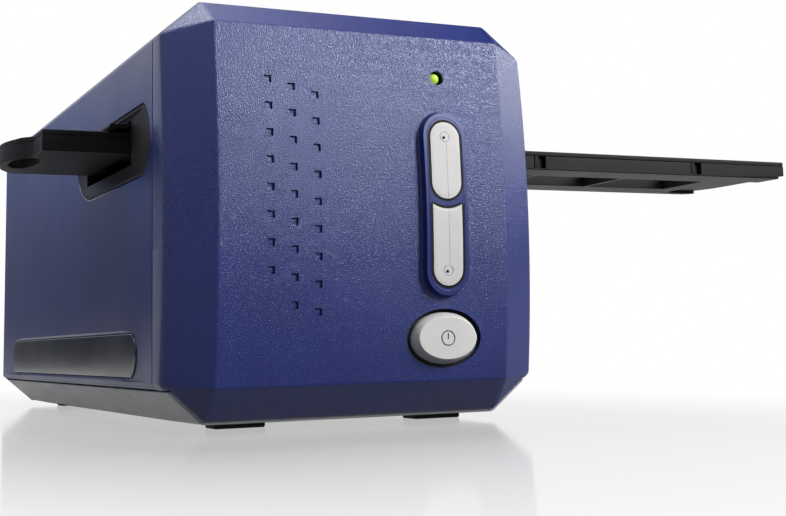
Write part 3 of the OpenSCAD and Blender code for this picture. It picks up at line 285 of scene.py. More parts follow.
# The casing: its front bulges along an arc and is bevelled all round, with the four corners cut off.
FRONT_Y, REAR_Y = -134.0, 134.0
HALF_W, TOP_Z, FLOOR_Z = 58.0, 121.0, 1.8
BULGE_R, BULGE_Z = 362.0, 62.0
BEVEL_SIDE, BEVEL_TOP, BEVEL_LOW, BEVEL_DEPTH = 13.0, 7.5, 10.0, 7.8
FACE_W = HALF_W - BEVEL_SIDE
FACE_LOW, FACE_TOP = FLOOR_Z + BEVEL_LOW, TOP_Z - BEVEL_TOP
CUT_TOP, CUT_LOW = (12.0, 10.5), (12.5, 11.0)       # in X and in Z
SEAM_Y = FRONT_Y + 19.0

# The front's skin: below LIP_Z it stands back by BASE_LIP, inside the base.
SKIN_T = 1.1
BASE_LIP, LIP_Z = 0.9, 11.6
SKIN_FOOT = FLOOR_Z + BASE_LIP
SKIN_FOOT_DEPTH = 1.2
RIM_R, RIM_R_LOW = 1.4, 0.35
REAR_EDGE = ((0.35, 0.0), (0.0, 0.3))               # two rings: short of the seam by, and inward by
BLEND_SIDE, BLEND_ENDS, BLEND_CORNER, BLEND_CUT = 0.3, 0.35, 0.3, 0.9
INSIDE_FACE, NEAR_RIM = 8.0, 16                     # how far the bevels' planes are followed
CUT_REACH, CUT_TURN = 1.5, 0.5                      # how far past a cut's end it still counts

# The square dimples: each column has its X, the Z of its top row, and its count.
DIMPLE, DIMPLE_DEPTH, DIMPLE_PITCH = 2.0, 0.7, 7.7
DIMPLE_COLUMNS = ((-29.7, 97.4, 8), (-22.7, 95.5, 9), (-15.6, 93.5, 9))
DIMPLE_MOUTH, DIMPLE_WALL = DIMPLE / 2 + 0.08, 0.2

# Stations of the skin's grid across the rims, the softened edges, the foot and the dimples' walls.
RIM_STEPS = (0.0, 0.04, 0.15, 0.33, 0.58, 0.9, 1.4)
SOFT_STEPS = (-1.3, -0.9, -0.6, -0.35, -0.12, 0.12, 0.35, 0.6, 0.9, 1.3)
FOOT_STEPS = (0, 0.03, 0.1, 0.2, 0.35)
WALL_STEPS = (-0.14, -0.03, 0.09)
COLUMN_STEP, ROW_STEP = 3.0, 2.2
BEVEL_STEPS = [0.9 * i for i in range(15)]
TOP_STEPS, LOW_STEPS = [0.8 * i for i in range(19)], [0.8 * i for i in range(15)]
TOO_CLOSE = 0.12

# The light, the keys and the power button. A pair is a width and a height, or a key's lower and upper end.
KEY_X, KEY_W, KEY_PROUD = 24.0, 9.5, 2.5
KEYS_MID, KEYS_WELL = 63.0, (12.6, 52.2)
UPPER_KEY_Z, LOWER_KEY_Z = (64.3, 87.0), (39.0, 62.7)
ARC_R = 9.3                                         # of the hollow that the lower key ends in
ARC_Z = LOWER_KEY_Z[1] + math.sqrt(ARC_R ** 2 - (KEY_W / 2) ** 2)
CAP_EDGE, CAP_DEPTH, CAP_SKIN = 0.5, 3.4, 0.03
SURROUND_W, SURROUND_H, SURROUND_PROUD = 11.4, 51.0, 2.3
LIGHT_Z, LIGHT_WELL = 101.0, (4.4, 4.4)
POWER_Z, POWER_WELL, POWER_FOOT = 24.0, (24.2, 16.9), (21.2, 14.8)
WELL_CUT = (FRONT_Y - 6, FRONT_Y + 9)

# Marks: thin beads that lie on the buttons.
MARK_R, MARK_Z, MARK_BEAD, MARK_LIFT = 1.45, (82.7, 43.5), 0.13, 0.02
DOT_R, DOT_BEAD, DOT_OFF = 0.25, 0.22, 0.35
CREASE_X, CREASE_LIFT, CREASE_BEAD, CREASE_ENDS = 0.4, 0.04, 0.11, (0.6, 1.7)
SYMBOL_R, SYMBOL_BAR, SYMBOL_BEAD = 2.1, (-0.3, 0.3, 0.9, 1.5), 0.15

# Sections of trim: steps outward from an outline and down from the front. The skirt's go inward and along Y.
# The black band round each key is painted shade of the gap between key and surround.
GAP_SHADE_PROFILE = ((0.08, 2.4), (0.08, 0.5), (0.26, -0.05), (0.76, -0.05), (0.8, 0.02), (0.36, 0.06),
                  (0.36, 2.4))
SURROUND_PROFILE = ((2.2, 2.75), (1.95, 2.3), (0.42, 0.35), (0.26, 0.08), (0.1, -0.06), (-0.05, -0.08),
                    (-0.14, -0.02), (-0.14, 1.0), (1.3, 2.9))
SKIRT_PROFILE = ((0.0, 0.5), (0.0, 0.2), (1.2, -2.2), (1.32, -2.36), (1.5, -2.3), (1.5, 0.5))
SKIRT_GAP = 0.06

# Rounding of the CAD solids' outer edges, as widths.
COVER_EDGE, REAR_PANEL_EDGE = 1.1, 1.6
SMALL_EDGES = {"power_button": 0.2, "left_slot_frame": 0.3, "right_slot_frame": 0.3, "left_dust_door": 0.2,
               "right_dust_door": 0.2, "left_side_pad": 0.3, "right_side_pad": 0.3, "rubber_feet": 0.5,
               "holder_base": 0.3, "holder_lid": 0.3, "usb_socket": 0.25, "dc_jack": 0.3}
LIP_SHARE, REAR_LIP_SHARE = 0.3, 0.2                # of the width, at seams and openings
LONG_EDGE, ALONG_Y = 0.05, 0.99                     # metres; share of Y in an edge's direction
REAR_OUTER_X, REAR_OUTER_Z = 40, (3, 100)           # the rear panel's outer edges lie beyond these


def curve_y(z, proud=0.0):
    """Depth of the front's curve at a height, and of the same curve further out."""
    return FRONT_Y + BULGE_R - math.sqrt((BULGE_R + proud) ** 2 - (z - BULGE_Z) ** 2)


# ---- pieces and meshes ---------------------------------------------------------------


def link(name, data):
    made = bpy.data.objects.new(name, data)
    bpy.context.scene.collection.objects.link(made)
    return made


def join_body(piece, node, slot=None):
    """Lets a piece ride with a CAD node's body and take its finish."""
    dress(piece, slot or SLOT_OF[node])
    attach(piece, frame["nodes"][node]["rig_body"])


def mesh_of(name, bm):
    mesh = bpy.data.meshes.new(name)
    bm.to_mesh(mesh)
    bm.free()
    return mesh


def applied(piece):
    """Turns the piece's modifiers into plain mesh."""
    final = bpy.data.meshes.new_from_object(piece.evaluated_get(bpy.context.evaluated_depsgraph_get()))
    piece.modifiers.clear()
    piece.data = final
    return final


def sharpen(piece, angle):
    """Marks edges over an angle as sharp, so that smooth shading stops there."""
    bm = bmesh.new()
    bm.from_mesh(piece.data)
    for e in bm.edges:
        e.smooth = len(e.link_faces) == 2 and e.calc_face_angle() < math.radians(angle)
    bm.to_mesh(piece.data)
    bm.free()


def closed_piece(name, bm, sharp=None):
    """A piece from a closed form, shaded smooth but for its edges over an angle."""
    bmesh.ops.recalc_face_normals(bm, faces=bm.faces)
    piece = link(name, mesh_of(name, bm))
    piece.data.shade_smooth()
    if sharp:
        sharpen(piece, sharp)
    return piece


def around(count):
    return [2 * math.pi * i / count for i in range(count)]


def band(bm, first, second):
    """Faces between two closed rings of points."""
    for i in range(len(first)):
        j = (i + 1) % len(first)
        bm.faces.new((first[i], first[j], second[j], second[i]))


def turn_back(bm, loop, ring):
    """Faces from the closed edge of a surface to a ring behind it."""
    for i in range(len(loop)):
        j = (i + 1) % len(loop)
        bm.faces.new((loop[j], loop[i], ring[i], ring[j]))


# ---- rounded copies of the CAD solids ------------------------------------------------

SAME_PLACE = 2e-6           # metres between vertices that are one
FLAT = 0.2                  # degrees between faces that are one
NORMAL_WEIGHT = 80
# Smooth shading stops at edges over these angles, in degrees.
CAD_SHARP, SKIN_SHARP, TRIM_SHARP, CAP_SHARP = 50, 40, 50, 60


def rounded(node, width, share=None, segments=3, sharp=14.0):
    """A copy of a CAD node with its sharp outer edges rounded. share gives an edge its part of the width."""
    bm = bmesh.new()
    bm.from_mesh(frame["nodes"][node].data)
    bmesh.ops.remove_doubles(bm, verts=bm.verts, dist=SAME_PLACE)
    bmesh.ops.dissolve_limit(bm, angle_limit=math.radians(FLAT), verts=bm.verts, edges=bm.edges)
    bmesh.ops.triangulate(bm, faces=[f for f in bm.faces if len(f.verts) > 4],
                          quad_method="BEAUTY", ngon_method="BEAUTY")
    weight = bm.edges.layers.float.new("bevel_weight_edge")
    for e in bm.edges:
        if len(e.link_faces) != 2 or not e.is_convex or e.calc_face_angle() < math.radians(sharp):
            continue
        e[weight] = share(e) if share else 1.0
    piece = link(node + "_rounded", mesh_of(node + "_rounded", bm))
    bevel = piece.modifiers.new("bevel", "BEVEL")
    bevel.limit_method, bevel.width, bevel.segments = "WEIGHT", width * MM, segments
    bevel.use_clamp_overlap = False
    bevel.miter_outer = "MITER_ARC"
    applied(piece).shade_smooth()
    sharpen(piece, CAD_SHARP)
    normals = piece.modifiers.new("normals", "WEIGHTED_NORMAL")
    normals.keep_sharp, normals.weight = True, NORMAL_WEIGHT
    applied(piece)
    join_body(piece, node)
    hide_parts(node)


def shell_share(edge):
    """Soft long edges from front to rear, thin lips at the seams and openings."""
    along = abs((edge.verts[0].co - edge.verts[1].co).normalized().y)
    return 1.0 if along > ALONG_Y and edge.calc_length() > LONG_EDGE else LIP_SHARE


def rear_share(edge):
    """Soft outer edges round the rear face, thin lips at the sockets and vents."""
    x, y, z = (edge.verts[0].co + edge.verts[1].co) / 2 / MM
    outer = abs(x) > REAR_OUTER_X or z < REAR_OUTER_Z[0] or z > REAR_OUTER_Z[1]
    return 1.0 if outer and abs(y - REAR_Y) < 0.3 else REAR_LIP_SHARE


def round_casing():
    rounded("top_cover", COVER_EDGE, shell_share)
    rounded("base_shell", COVER_EDGE, shell_share)
    rounded("rear_panel", REAR_PANEL_EDGE, rear_share)
    for node, width in SMALL_EDGES.items():
        rounded(node, width, segments=2, sharp=25.0)


# ---- the front panel, modelled as one smooth skin ------------------------------------


def smooth_max(a, b, k):
    h = max(k - abs(a - b), 0.0) / k
    return max(a, b) + h * h * k / 4


def plane_y(p, q, r):
    """Depth at x and z of the plane through three points."""
    normal = (Vector(q) - Vector(p)).cross(Vector(r) - Vector(p))
    return lambda x, z: p[1] - (normal.x * (x - p[0]) + normal.z * (z - p[2])) / normal.y


def corner_plane(low):
    """The facet across a lower or an upper corner of the front."""
    rim_z, face_z, cut = (FLOOR_Z, FACE_LOW, CUT_LOW) if low else (TOP_Z, FACE_TOP, CUT_TOP)
    side_z = rim_z + cut[1] if low else rim_z - cut[1]
    return plane_y((FACE_W, curve_y(face_z), face_z),
                   (HALF_W, curve_y(side_z, -BEVEL_DEPTH), side_z),
                   (HALF_W - cut[0], curve_y(rim_z, -BEVEL_DEPTH), rim_z))


CORNER_LOW, CORNER_TOP = corner_plane(True), corner_plane(False)


def front_y_at(x, z):
    """Depth of the bevelled front, before its rim is rounded."""
    x = abs(x)
    reach = BULGE_R - max(x - FACE_W, -INSIDE_FACE) * BEVEL_DEPTH / BEVEL_SIDE
    side = FRONT_Y + BULGE_R - math.sqrt(reach ** 2 - (z - BULGE_Z) ** 2)
    y = smooth_max(curve_y(z), side, BLEND_SIDE)
    for rim_z, face_z, corner in ((TOP_Z, FACE_TOP, CORNER_TOP), (FLOOR_Z, FACE_LOW, CORNER_LOW)):
        if abs(z - rim_z) < NEAR_RIM:
            slope = (curve_y(rim_z, -BEVEL_DEPTH) - curve_y(face_z)) / (rim_z - face_z)
            y = smooth_max(y, curve_y(face_z) + (z - face_z) * slope, BLEND_ENDS)
            y = smooth_max(y, corner(x, z), BLEND_CORNER)
    return y


def half_width(z):
    """Half the casing's width at a height, and how squarely a step in X crosses its edge there."""
    w, square = HALF_W, 1.0
    for rim_z, cut in ((TOP_Z, CUT_TOP), (FLOOR_Z, CUT_LOW)):
        into = cut[1] - abs(z - rim_z)
        if into > -CUT_REACH:
            w = -smooth_max(-w, into * cut[0] / cut[1] - HALF_W, BLEND_CUT)
            square = 1 - (1 - cut[1] / math.hypot(*cut)) * min(max(into + CUT_TURN, 0.0), 1.0)
    return w, square


def dimple_at(x, z):
    """How deep a point lies in one of the square dimples."""
    for column_x, top_z, rows in DIMPLE_COLUMNS:
        row = round((top_z - z) / DIMPLE_PITCH)
        out = max(abs(x - column_x), abs(z - top_z + row * DIMPLE_PITCH))
        if 0 <= row < rows and out < DIMPLE_MOUTH:
            return DIMPLE_DEPTH * min((DIMPLE_MOUTH - out) / DIMPLE_WALL, 1.0)
    return 0.0


def skin_point(s, z):
    """The skin's point at a share of the half width and a height."""
    w, square = half_width(z)
    low = z < LIP_Z
    inset = BASE_LIP if low else 0.0
    radius = RIM_R_LOW if low else RIM_R
    x = s * (w - inset / square)
    d = min((w - inset / square - abs(x)) * square, TOP_Z - z, z - SKIN_FOOT if low else radius)
    rim = radius * (1 - math.sqrt(1 - (1 - max(min(d / radius, 1.0), 0.0)) ** 2))
    return Vector((x, front_y_at(x, z) + rim + dimple_at(x, z), z))


def graded(low, high, step, extra):
    """Sorted stations from low to high: every step, and the extra ones, which push out close neighbours."""
    keep = sorted(e for e in set(round(e, 3) for e in extra) if low <= e <= high)
    count = round((high - low) / step)
    plain = [low + (high - low) * i / count for i in range(count + 1)]
    return sorted(keep + [p for p in plain if all(abs(p - e) > TOO_CLOSE for e in keep)])


def skin_stations():
    """The grid's columns, as shares of the half width, and its rows, as heights."""
    walls = [m * (DIMPLE / 2 + d) for m in (-1, 1) for d in WALL_STEPS]
    xs = [m * (HALF_W - d) for m in (-1, 1) for d in RIM_STEPS]
    xs += [m * (FACE_W + d) for m in (-1, 1) for d in SOFT_STEPS]
    xs += [m * (FACE_W - 1 + d) for m in (-1, 1) for d in BEVEL_STEPS]
    xs += [x + e for x, _, _ in DIMPLE_COLUMNS for e in walls]
    zs = [TOP_Z - d for d in RIM_STEPS] + [SKIN_FOOT + d for d in FOOT_STEPS]
    zs += [z + d for z in (FACE_LOW, FACE_TOP) for d in SOFT_STEPS]
    zs += [TOP_Z - d for d in TOP_STEPS] + [SKIN_FOOT + d for d in LOW_STEPS]
    zs += [LIP_Z - 0.02, LIP_Z]
    zs += [top - DIMPLE_PITCH * i + e for _, top, n in DIMPLE_COLUMNS for i in range(n) for e in walls]
    columns = [x / HALF_W for x in graded(-HALF_W, HALF_W, COLUMN_STEP, xs)]
    return columns, graded(SKIN_FOOT, TOP_Z, ROW_STEP, zs)


def front_skin():
    """The front from a grid of points, turned back at its rim, thickened, and cut for the buttons."""
    columns, rows = skin_stations()
    bm = bmesh.new()
    grid = [[bm.verts.new(skin_point(s, z) * MM) for s in columns] for z in rows]
    for lower, upper in zip(grid, grid[1:]):
        for i in range(len(columns) - 1):
            bm.faces.new((lower[i], lower[i + 1], upper[i + 1], upper[i]))
    loop = grid[0][:-1] + [row[-1] for row in grid[:-1]] + grid[-1][:0:-1] + [row[0] for row in grid[:0:-1]]
    for short, inward in REAR_EDGE:
        ring = []
        for v in loop:
            x, _, z = v.co / MM
            end = SEAM_Y if z > LIP_Z - 0.01 else front_y_at(x, z) + SKIN_FOOT_DEPTH
            toward = Vector((-x, 0, BULGE_Z - z)).normalized() * inward
            ring.append(bm.verts.new((Vector((x, end - short, z)) + toward) * MM))
        turn_back(bm, loop, ring)
        loop = ring
    bmesh.ops.recalc_face_normals(bm, faces=bm.faces)
    piece = link("front_skin", mesh_of("front_skin", bm))
    if piece.data.polygons[0].normal.y > 0:
        piece.data.flip_normals()
    shell = piece.modifiers.new("shell", "SOLIDIFY")
    shell.thickness, shell.offset, shell.use_even_offset = SKIN_T * MM, -1, False
    cutters = (oval_bar("cut_light", KEY_X, LIGHT_Z, *LIGHT_WELL),
               oval_bar("cut_power", KEY_X, POWER_Z, *POWER_WELL),
               oval_bar("cut_keys", KEY_X, KEYS_MID, *KEYS_WELL, straight=True))
    for cutter in cutters:
        cut = piece.modifiers.new(cutter.name, "BOOLEAN")
        cut.operation, cut.solver, cut.object = "DIFFERENCE", "EXACT", cutter
    applied(piece).shade_smooth()
    for cutter in cutters:
        bpy.data.objects.remove(cutter)
    sharpen(piece, SKIN_SHARP)
    join_body(piece, "front_panel")
    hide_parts("front_panel")


def oval_outline(w, h, straight=False):
    """An oval round the origin, or with straight flanks: a stadium."""
    points = []
    for a in around(72):
        x, z = math.cos(a), math.sin(a)
        if straight:
            points.append((x * w / 2, z * w / 2 + math.copysign((h - w) / 2, z)))
        else:
            points.append((x * w / 2, z * h / 2))
    return points


def oval_bar(name, x, z, w, h, straight=False):
    """A closed bar with an oval section, along Y through the front."""
    bm = bmesh.new()
    ends = [[bm.verts.new(Vector((x + p, y, z + q)) * MM) for p, q in oval_outline(w, h, straight)]
            for y in WELL_CUT]
    band(bm, *ends)
    for end in ends:
        bm.faces.new(end)
    bmesh.ops.recalc_face_normals(bm, faces=bm.faces)
    return link(name, mesh_of(name, bm))


# ---- marks on the buttons ------------------------------------------------------------


def bead(name, points, radius, closed=False, sides=8):
    """A thin round bead along points that face the front."""
    bm = bmesh.new()
    rings = []
    count = len(points)
    for i, p in enumerate(points):
        ahead = points[(i + 1) % count] if closed else points[min(i + 1, count - 1)]
        behind = points[i - 1] if closed else points[max(i - 1, 0)]
        along = (Vector(ahead) - Vector(behind)).normalized()
        out = Vector((0, -1, 0))
        side = along.cross(out).normalized()
        rings.append([bm.verts.new((Vector(p) + (side * math.cos(a) + out * math.sin(a)) * radius) * MM)
                      for a in around(sides)])
    for first, second in zip(rings, rings[1:] + rings[:1] if closed else rings[1:]):
        band(bm, first, second)
    if not closed:
        bm.faces.new(rings[0])
        bm.faces.new(rings[-1])
    return closed_piece(name, bm)


def circle_points(x, z, radius, y_of, count=40):
    """Points of a circle that lies on the surface y_of."""
    spots = [(x + radius * math.cos(a), z + radius * math.sin(a)) for a in around(count)]
    return [(across, y_of(height), height) for across, height in spots]


def button_marks():
    """Ring marks and thin creases on the keys, and the power sign."""
    def on_key(z):
        return curve_y(z, KEY_PROUD + CAP_SKIN) + MARK_LIFT

    for key, mark_z, low, high in (
            ("upper", MARK_Z[0], UPPER_KEY_Z[0] + CREASE_ENDS[0], MARK_Z[0] - MARK_R),
            ("lower", MARK_Z[1], MARK_Z[1] + MARK_R, LOWER_KEY_Z[1] - CREASE_ENDS[1])):
        node = key + "_scan_key"
        ring = bead(key + "_mark", circle_points(KEY_X, mark_z, MARK_R, on_key), MARK_BEAD, closed=True)
        join_body(ring, node, "chassis_metal")
        middle = circle_points(KEY_X - DOT_OFF, mark_z - DOT_OFF, DOT_R, on_key, 12)
        dot = bead(key + "_mark_dot", middle, DOT_BEAD, closed=True)
        join_body(dot, node, "black_plastic")
        heights = [low + (high - low) * i / 12 for i in range(13)]
        line = [(KEY_X + CREASE_X, on_key(z) + CREASE_LIFT, z) for z in heights]
        join_body(bead(key + "_crease", line, CREASE_BEAD), node, "chassis_metal")
    power_y = curve_y(POWER_Z) - KEY_PROUD + MARK_LIFT
    circle = circle_points(KEY_X, POWER_Z, SYMBOL_R, lambda z: power_y)
    sign = bead("power_sign_ring", circle, SYMBOL_BEAD, closed=True)
    join_body(sign, "power_button", "black_plastic")
    bar = bead("power_sign_bar", [(KEY_X, power_y, POWER_Z + h) for h in SYMBOL_BAR], SYMBOL_BEAD)
    join_body(bar, "power_button", "black_plastic")


# ---- caps, painted gap shade and trim of the buttons ---------------------------------

CAP_COLUMNS, GAP_SHADE_COLUMNS = 36, 30
CAP_ROWS = [0, 0.008, 0.02, 0.04] + [0.07 + 0.86 * i / 24 for i in range(25)] + [0.96, 0.98, 0.992, 1]


def round_end(z_end, upward):
    """Where a key ends in a half circle: its height over x, and how far inside it a point lies."""
    r = KEY_W / 2
    sign = 1 if upward else -1
    middle = z_end - r * sign
    return (lambda x: middle + sign * math.sqrt(max(r * r - x * x, 0)),
            lambda x, z: r - math.hypot(x, z - middle) if (z - middle) * sign > 0 else r - abs(x))


def hollow_end():
    """The same, for the arc that the lower key ends in."""
    return (lambda x: ARC_Z - math.sqrt(ARC_R ** 2 - x * x),
            lambda x, z: math.hypot(x, z - ARC_Z) - ARC_R)


def across_key(count):
    """Stations in X from flank to flank, closer together at the flanks."""
    return [-KEY_W / 2 * math.cos(math.pi * i / count) for i in range(count + 1)]


def key_cap(name, node, low, high):
    """A smooth cap over a key: a front that follows the panel's curve, a soft edge and the key's flanks."""
    bm = bmesh.new()
    grid = []
    for x in across_key(CAP_COLUMNS):
        bottom, top = low[0](x), high[0](x)
        column = []
        for t in CAP_ROWS:
            z = bottom + (top - bottom) * t
            inside = max(min(low[1](x, z), high[1](x, z), KEY_W / 2 - abs(x), CAP_EDGE), 0.0)
            edge = CAP_EDGE * (1 - math.sqrt(1 - (1 - inside / CAP_EDGE) ** 2))
            column.append(bm.verts.new(Vector((KEY_X + x, curve_y(z, KEY_PROUD + CAP_SKIN) + edge, z)) * MM))
        grid.append(column)
    for left, right in zip(grid, grid[1:]):
        for j in range(len(CAP_ROWS) - 1):
            bm.faces.new((left[j], right[j], right[j + 1], left[j + 1]))
    loop = [c[0] for c in grid[:-1]] + grid[-1][:-1] + [c[-1] for c in grid[:0:-1]] + grid[0][:0:-1]
    back = []
    for i, v in enumerate(loop):
        along = (loop[(i + 1) % len(loop)].co - loop[i - 1].co).normalized()
        v.co += Vector((along.z, 0, -along.x)) * CAP_SKIN * MM
        back.append(bm.verts.new(v.co + Vector((0, CAP_DEPTH * MM, 0))))
    turn_back(bm, loop, back)
    bmesh.ops.remove_doubles(bm, verts=bm.verts, dist=1e-6)
    join_body(closed_piece(name, bm, CAP_SHARP), node)


def moulding(name, line, profile):
    """A closed strip along an outline in XZ, with its section as steps outward and down from the surround."""
    count = len(line)
    rings = []
    bm = bmesh.new()
    for off, down in profile:
        ring = []
        for i, p in enumerate(line):
            a, b = line[i - 1], line[(i + 1) % count]
            along = Vector((b[0] - a[0], 0, b[1] - a[1])).normalized()
            x, z = p[0] + along.z * off, p[1] - along.x * off
            ring.append(bm.verts.new(Vector((KEY_X + x, curve_y(z, SURROUND_PROUD) + down, z)) * MM))
        rings.append(ring)
    for first, second in zip(rings, rings[1:] + rings[:1]):
        band(bm, first, second)
    return closed_piece(name, bm, TRIM_SHARP)


def painted_gap_shade(name, low, high):
    """Black band in the gap round a key, lapping onto the surround's lip: painted shade of the gap."""
    r = KEY_W / 2
    xs = across_key(GAP_SHADE_COLUMNS)
    flank = [low[0](r) + (high[0](r) - low[0](r)) * i / 16 for i in range(1, 16)]
    line = [(x, low[0](x)) for x in xs] + [(r, z) for z in flank]
    line += [(x, high[0](x)) for x in xs[::-1]] + [(-r, z) for z in flank[::-1]]
    join_body(moulding(name, line, GAP_SHADE_PROFILE), "key_surround", "black_plastic")


def surround_skin():
    """Smooth outer wall and thin lip of the surround."""
    half, r = SURROUND_H / 2, SURROUND_W / 2
    line = []
    for sign in (-1, 1):
        turns = [math.pi * (i / 24 + (1 if sign < 0 else 0)) for i in range(25)]
        line += [(r * math.cos(a), KEYS_MID + sign * (half - r) + r * math.sin(a)) for a in turns]
        start = line[-1]
        line += [(start[0], start[1] - sign * 2 * (half - r) * i / 24) for i in range(1, 24)]
    join_body(moulding("surround_skin", line, SURROUND_PROFILE), "key_surround")


def key_trim():
    upper = round_end(UPPER_KEY_Z[0], False), round_end(UPPER_KEY_Z[1], True)
    lower = round_end(LOWER_KEY_Z[0], False), hollow_end()
    key_cap("upper_key_cap", "upper_scan_key", *upper)
    key_cap("lower_key_cap", "lower_scan_key", *lower)
    painted_gap_shade("upper_gap_lining", *upper)
    painted_gap_shade("lower_gap_lining", *lower)
    surround_skin()


def power_skirt():
    """Band round the side of the power button, painted like its top."""
    face = curve_y(POWER_Z)
    bm = bmesh.new()
    rings = []
    for step, y in SKIRT_PROFILE:
        outline = oval_outline(*(size - 2 * (step - SKIRT_GAP) for size in POWER_FOOT))
        rings.append([bm.verts.new(Vector((KEY_X + p, face + y, POWER_Z + q)) * MM) for p, q in outline])
    for first, second in zip(rings, rings[1:] + rings[:1]):
        band(bm, first, second)
    join_body(closed_piece("power_skirt", bm, TRIM_SHARP), "power_button", "key_silver")


# ---- springs and cable ---------------------------------------------------------------


def flexible(node):
    """A copy of a node with its finish, fixed where the node stands; the node is hidden."""
    piece = link(node + "_flexed", frame["nodes"][node].data.copy())
    dress(piece, SLOT_OF[node])
    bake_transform(piece)
    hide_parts(node)


def springs_and_ribbon():
    """Fixed copies of each spring, which runs from the casing to its button, and of the cable, which runs
    from the scan head to the casing.
    """
    for node, body in (("upper_key_spring", "upper_key"), ("lower_key_spring", "lower_key"),
                       ("power_button_spring", "power_key")):
        flexible(node)
    flexible("sensor_ribbon")


# ---- stage and light, in metres and watts --------------------------------------------

WHITE = (1, 1, 1, 1)
FILL_COLOUR, FILL_LEVEL = (0.92, 0.95, 1.0, 1), 0.1         # what the world gives to rough surfaces
FLOOR_SIZE = 12.0
FLOOR_COLOUR, FLOOR_ROUGH, FLOOR_SPECULAR = (0.26, 0.26, 0.265, 1), 0.09, 0.25
# The floor's share of white grows over these distances from the casing, which count double to its sides;
# nearer in, the floor's own dark grey shows, a painted shade round the casing.
WHITE_REACH, WHITE_SHARE, SIDEWAYS = (0.05, 0.26), (0.46, 1.0), 2.0

SCREEN_COLOUR = (0.5, 0.6, 1.0, 1)
SCREEN_R, SCREEN_H, SCREEN_DARKEST = 0.9, 0.3, 0.05
SCREEN_FROM, SCREEN_TO, SCREEN_FACES = 60, 352, 60          # degrees from +Y towards +X
OVERHEAD_X, OVERHEAD_Y, OVERHEAD_Z = (0.34, 2.5), (-0.5, 2.0), 1.1

KEY_LAMP = (0.8, -1.1, 0.78), (0, -0.1, 0.08), (0.34, 0.7), 27
# Name, place, what it faces, width and height, power.
LAMPS = (
    ("top", (-0.2, 0.15, 1.3), (-0.2, 0.15, 0), (1.0, 1.2), 13),
    ("key", *KEY_LAMP),
    ("cover", *KEY_LAMP),
    ("crown", (-0.38, 0.12, 1.25), (-0.05, -0.12, 0.1), (0.3, 0.5), 4),
    ("edge", (1.1, -0.62, 0.6), (0, -0.1, 0.08), (0.12, 0.4), 3),
    ("right", (1.15, 0.05, 0.55), (0, 0, 0.1), (0.7, 0.35), 5),
    ("left", (-1.3, -0.5, 0.9), (0, 0, 0.08), (0.8, 0.8), 2),
)


def seen_directly(tree):
    """1 for camera, glossy and transmission rays, which show the studio's white; 0 for the rest."""
    path = tree.nodes.new("ShaderNodeLightPath")
    share = path.outputs["Is Camera Ray"]
    for name in ("Is Glossy Ray", "Is Transmission Ray"):
        both = tree.nodes.new("ShaderNodeMath")
        both.operation = "MAXIMUM"
        tree.links.new(share, both.inputs[0])
        tree.links.new(path.outputs[name], both.inputs[1])
        share = both.outputs[0]
    return share


def make_world():
    world = bpy.data.worlds.new("studio")
    world.use_nodes = True
    bpy.context.scene.world = world
    tree = world.node_tree
    tree.nodes.clear()
    out = tree.nodes.new("ShaderNodeOutputWorld")
    mix = tree.nodes.new("ShaderNodeMixShader")
    tree.links.new(seen_directly(tree), mix.inputs[0])
    for socket, colour, level in ((mix.inputs[1], FILL_COLOUR, FILL_LEVEL), (mix.inputs[2], WHITE, 1.0)):
        background = tree.nodes.new("ShaderNodeBackground")
        background.inputs[0].default_value, background.inputs[1].default_value = colour, level
        tree.links.new(background.outputs[0], socket)
    tree.links.new(mix.outputs[0], out.inputs[0])


def make_floor():
    """A floor that shows real shadow and reflections near the casing over its own dark grey, a painted shade
    round the casing, and fades to white away from it.
    """
    bm = bmesh.new()
    bmesh.ops.create_grid(bm, x_segments=4, y_segments=4, size=FLOOR_SIZE)
    floor = link("floor", mesh_of("floor", bm))
    s = Shader("floor")
    s.set(Base_Color=FLOOR_COLOUR, Roughness=FLOOR_ROUGH, Specular_IOR_Level=FLOOR_SPECULAR)
    # Painted shade: the share of white is least next to the casing, so the dark grey floor shows round it.
    outside = s.vector_math("SUBTRACT", s.vector_math("ABSOLUTE", s.place), (HALF_W * MM, REAR_Y * MM, 0))
    stretched = s.vector_math("MULTIPLY", s.vector_math("MAXIMUM", outside), (SIDEWAYS, 1.0, 1.0))
    away = s.vector_math("LENGTH", stretched)
    share = s.ramp(away, *WHITE_REACH, *WHITE_SHARE)
    glow = s.node("Emission")
    glow.inputs[1].default_value = 1.0
    mix = s.node("MixShader")
    s.put(mix.inputs[0], s.math("MULTIPLY", share, seen_directly(s.material.node_tree)))
    s.links.new(s.bsdf.outputs[0], mix.inputs[1])
    s.links.new(glow.outputs[0], mix.inputs[2])
    s.links.new(mix.outputs[0], s.out.inputs[0])
    floor.data.materials.append(s.material)


def make_lights():
    for name, place, target, size, power in LAMPS:
        data = bpy.data.lights.new(name, "AREA")
        data.shape, data.size, data.size_y = "RECTANGLE", *size
        data.energy = power
        lamp = link(name, data)
        lamp.location = place
        lamp.rotation_mode = "QUATERNION"
        lamp.rotation_quaternion = (Vector(target) - Vector(place)).to_track_quat("-Z", "Y")


def aim(lamps, state, *names):
    """The named lamps leave the named things out (EXCLUDE), or light them alone (INCLUDE)."""
    lit = bpy.data.collections.new("lit_by_" + lamps[0])
    for i, name in enumerate(names):
        lit.objects.link(bpy.data.objects[name])
        lit.collection_objects[i].light_linking.link_state = state
    for lamp in lamps:
        bpy.data.objects[lamp].light_linking.receiver_collection = lit


def aim_lights():
    """Keeps the lamps' mirror images off the floor, and the key lamp's glare off the cover."""
    aim(["key"], "EXCLUDE", "floor", "top_cover_rounded")
    aim(["crown", "edge", "right", "left"], "EXCLUDE", "floor")
    aim(["cover"], "INCLUDE", "top_cover_rounded")
    bpy.data.objects["cover"].visible_glossy = False


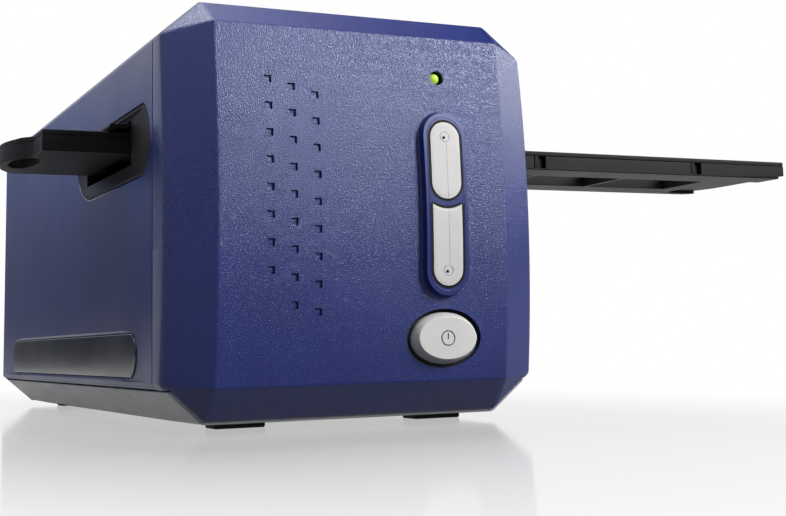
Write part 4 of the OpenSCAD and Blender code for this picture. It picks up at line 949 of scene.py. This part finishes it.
def dark_screen(name, bm, glow_of):
    """A screen that only glossy rays see, with the glow that glow_of gives its shader."""
    screen = link(name, mesh_of(name, bm))
    s = Shader(name)
    glow = s.node("Emission")
    glow.inputs[0].default_value = SCREEN_COLOUR
    s.put(glow.inputs[1], glow_of(s))
    s.links.new(glow.outputs[0], s.out.inputs[0])
    s.material.cycles.emission_sampling = "NONE"
    screen.data.materials.append(s.material)
    for kind in ("camera", "diffuse", "transmission", "shadow", "volume_scatter"):
        setattr(screen, "visible_" + kind, False)


def upward_glow(s):
    rise = s.node("SeparateXYZ")
    s.put(rise.inputs[0], s.place)
    height = s.ramp(rise.outputs[2], 0.0, SCREEN_H)
    return s.ramp(s.math("POWER", height, 2.0), 0, 1, SCREEN_DARKEST, 1)


def make_screens():
    """Dark studio screens that only reflections see: a low one round the set, and one overhead."""
    bm = bmesh.new()
    feet, tops = [], []
    for i in range(SCREEN_FACES + 1):
        turn = math.radians(SCREEN_FROM + (SCREEN_TO - SCREEN_FROM) * i / SCREEN_FACES)
        foot = Vector((math.sin(turn), math.cos(turn), 0)) * SCREEN_R
        feet.append(bm.verts.new(foot))
        tops.append(bm.verts.new(foot + Vector((0, 0, SCREEN_H))))
    for i in range(SCREEN_FACES):
        bm.faces.new((feet[i], feet[i + 1], tops[i + 1], tops[i]))
    dark_screen("low_screen", bm, upward_glow)
    bm = bmesh.new()
    (x0, x1), (y0, y1) = OVERHEAD_X, OVERHEAD_Y
    bm.faces.new([bm.verts.new((x, y, OVERHEAD_Z)) for x, y in ((x0, y0), (x1, y0), (x1, y1), (x0, y1))])
    dark_screen("high_screen", bm, lambda s: 0.0)


# ---- the scene -----------------------------------------------------------------------


def main():
    make_camera()
    make_world()
    make_floor()
    make_lights()
    make_screens()
    for node, part in frame["nodes"].items():
        dress(part, SLOT_OF[node])
    front_skin()
    round_casing()
    key_trim()
    button_marks()
    power_skirt()
    springs_and_ribbon()
    aim_lights()
    bpy.context.scene.view_settings.view_transform = "Standard"


main()
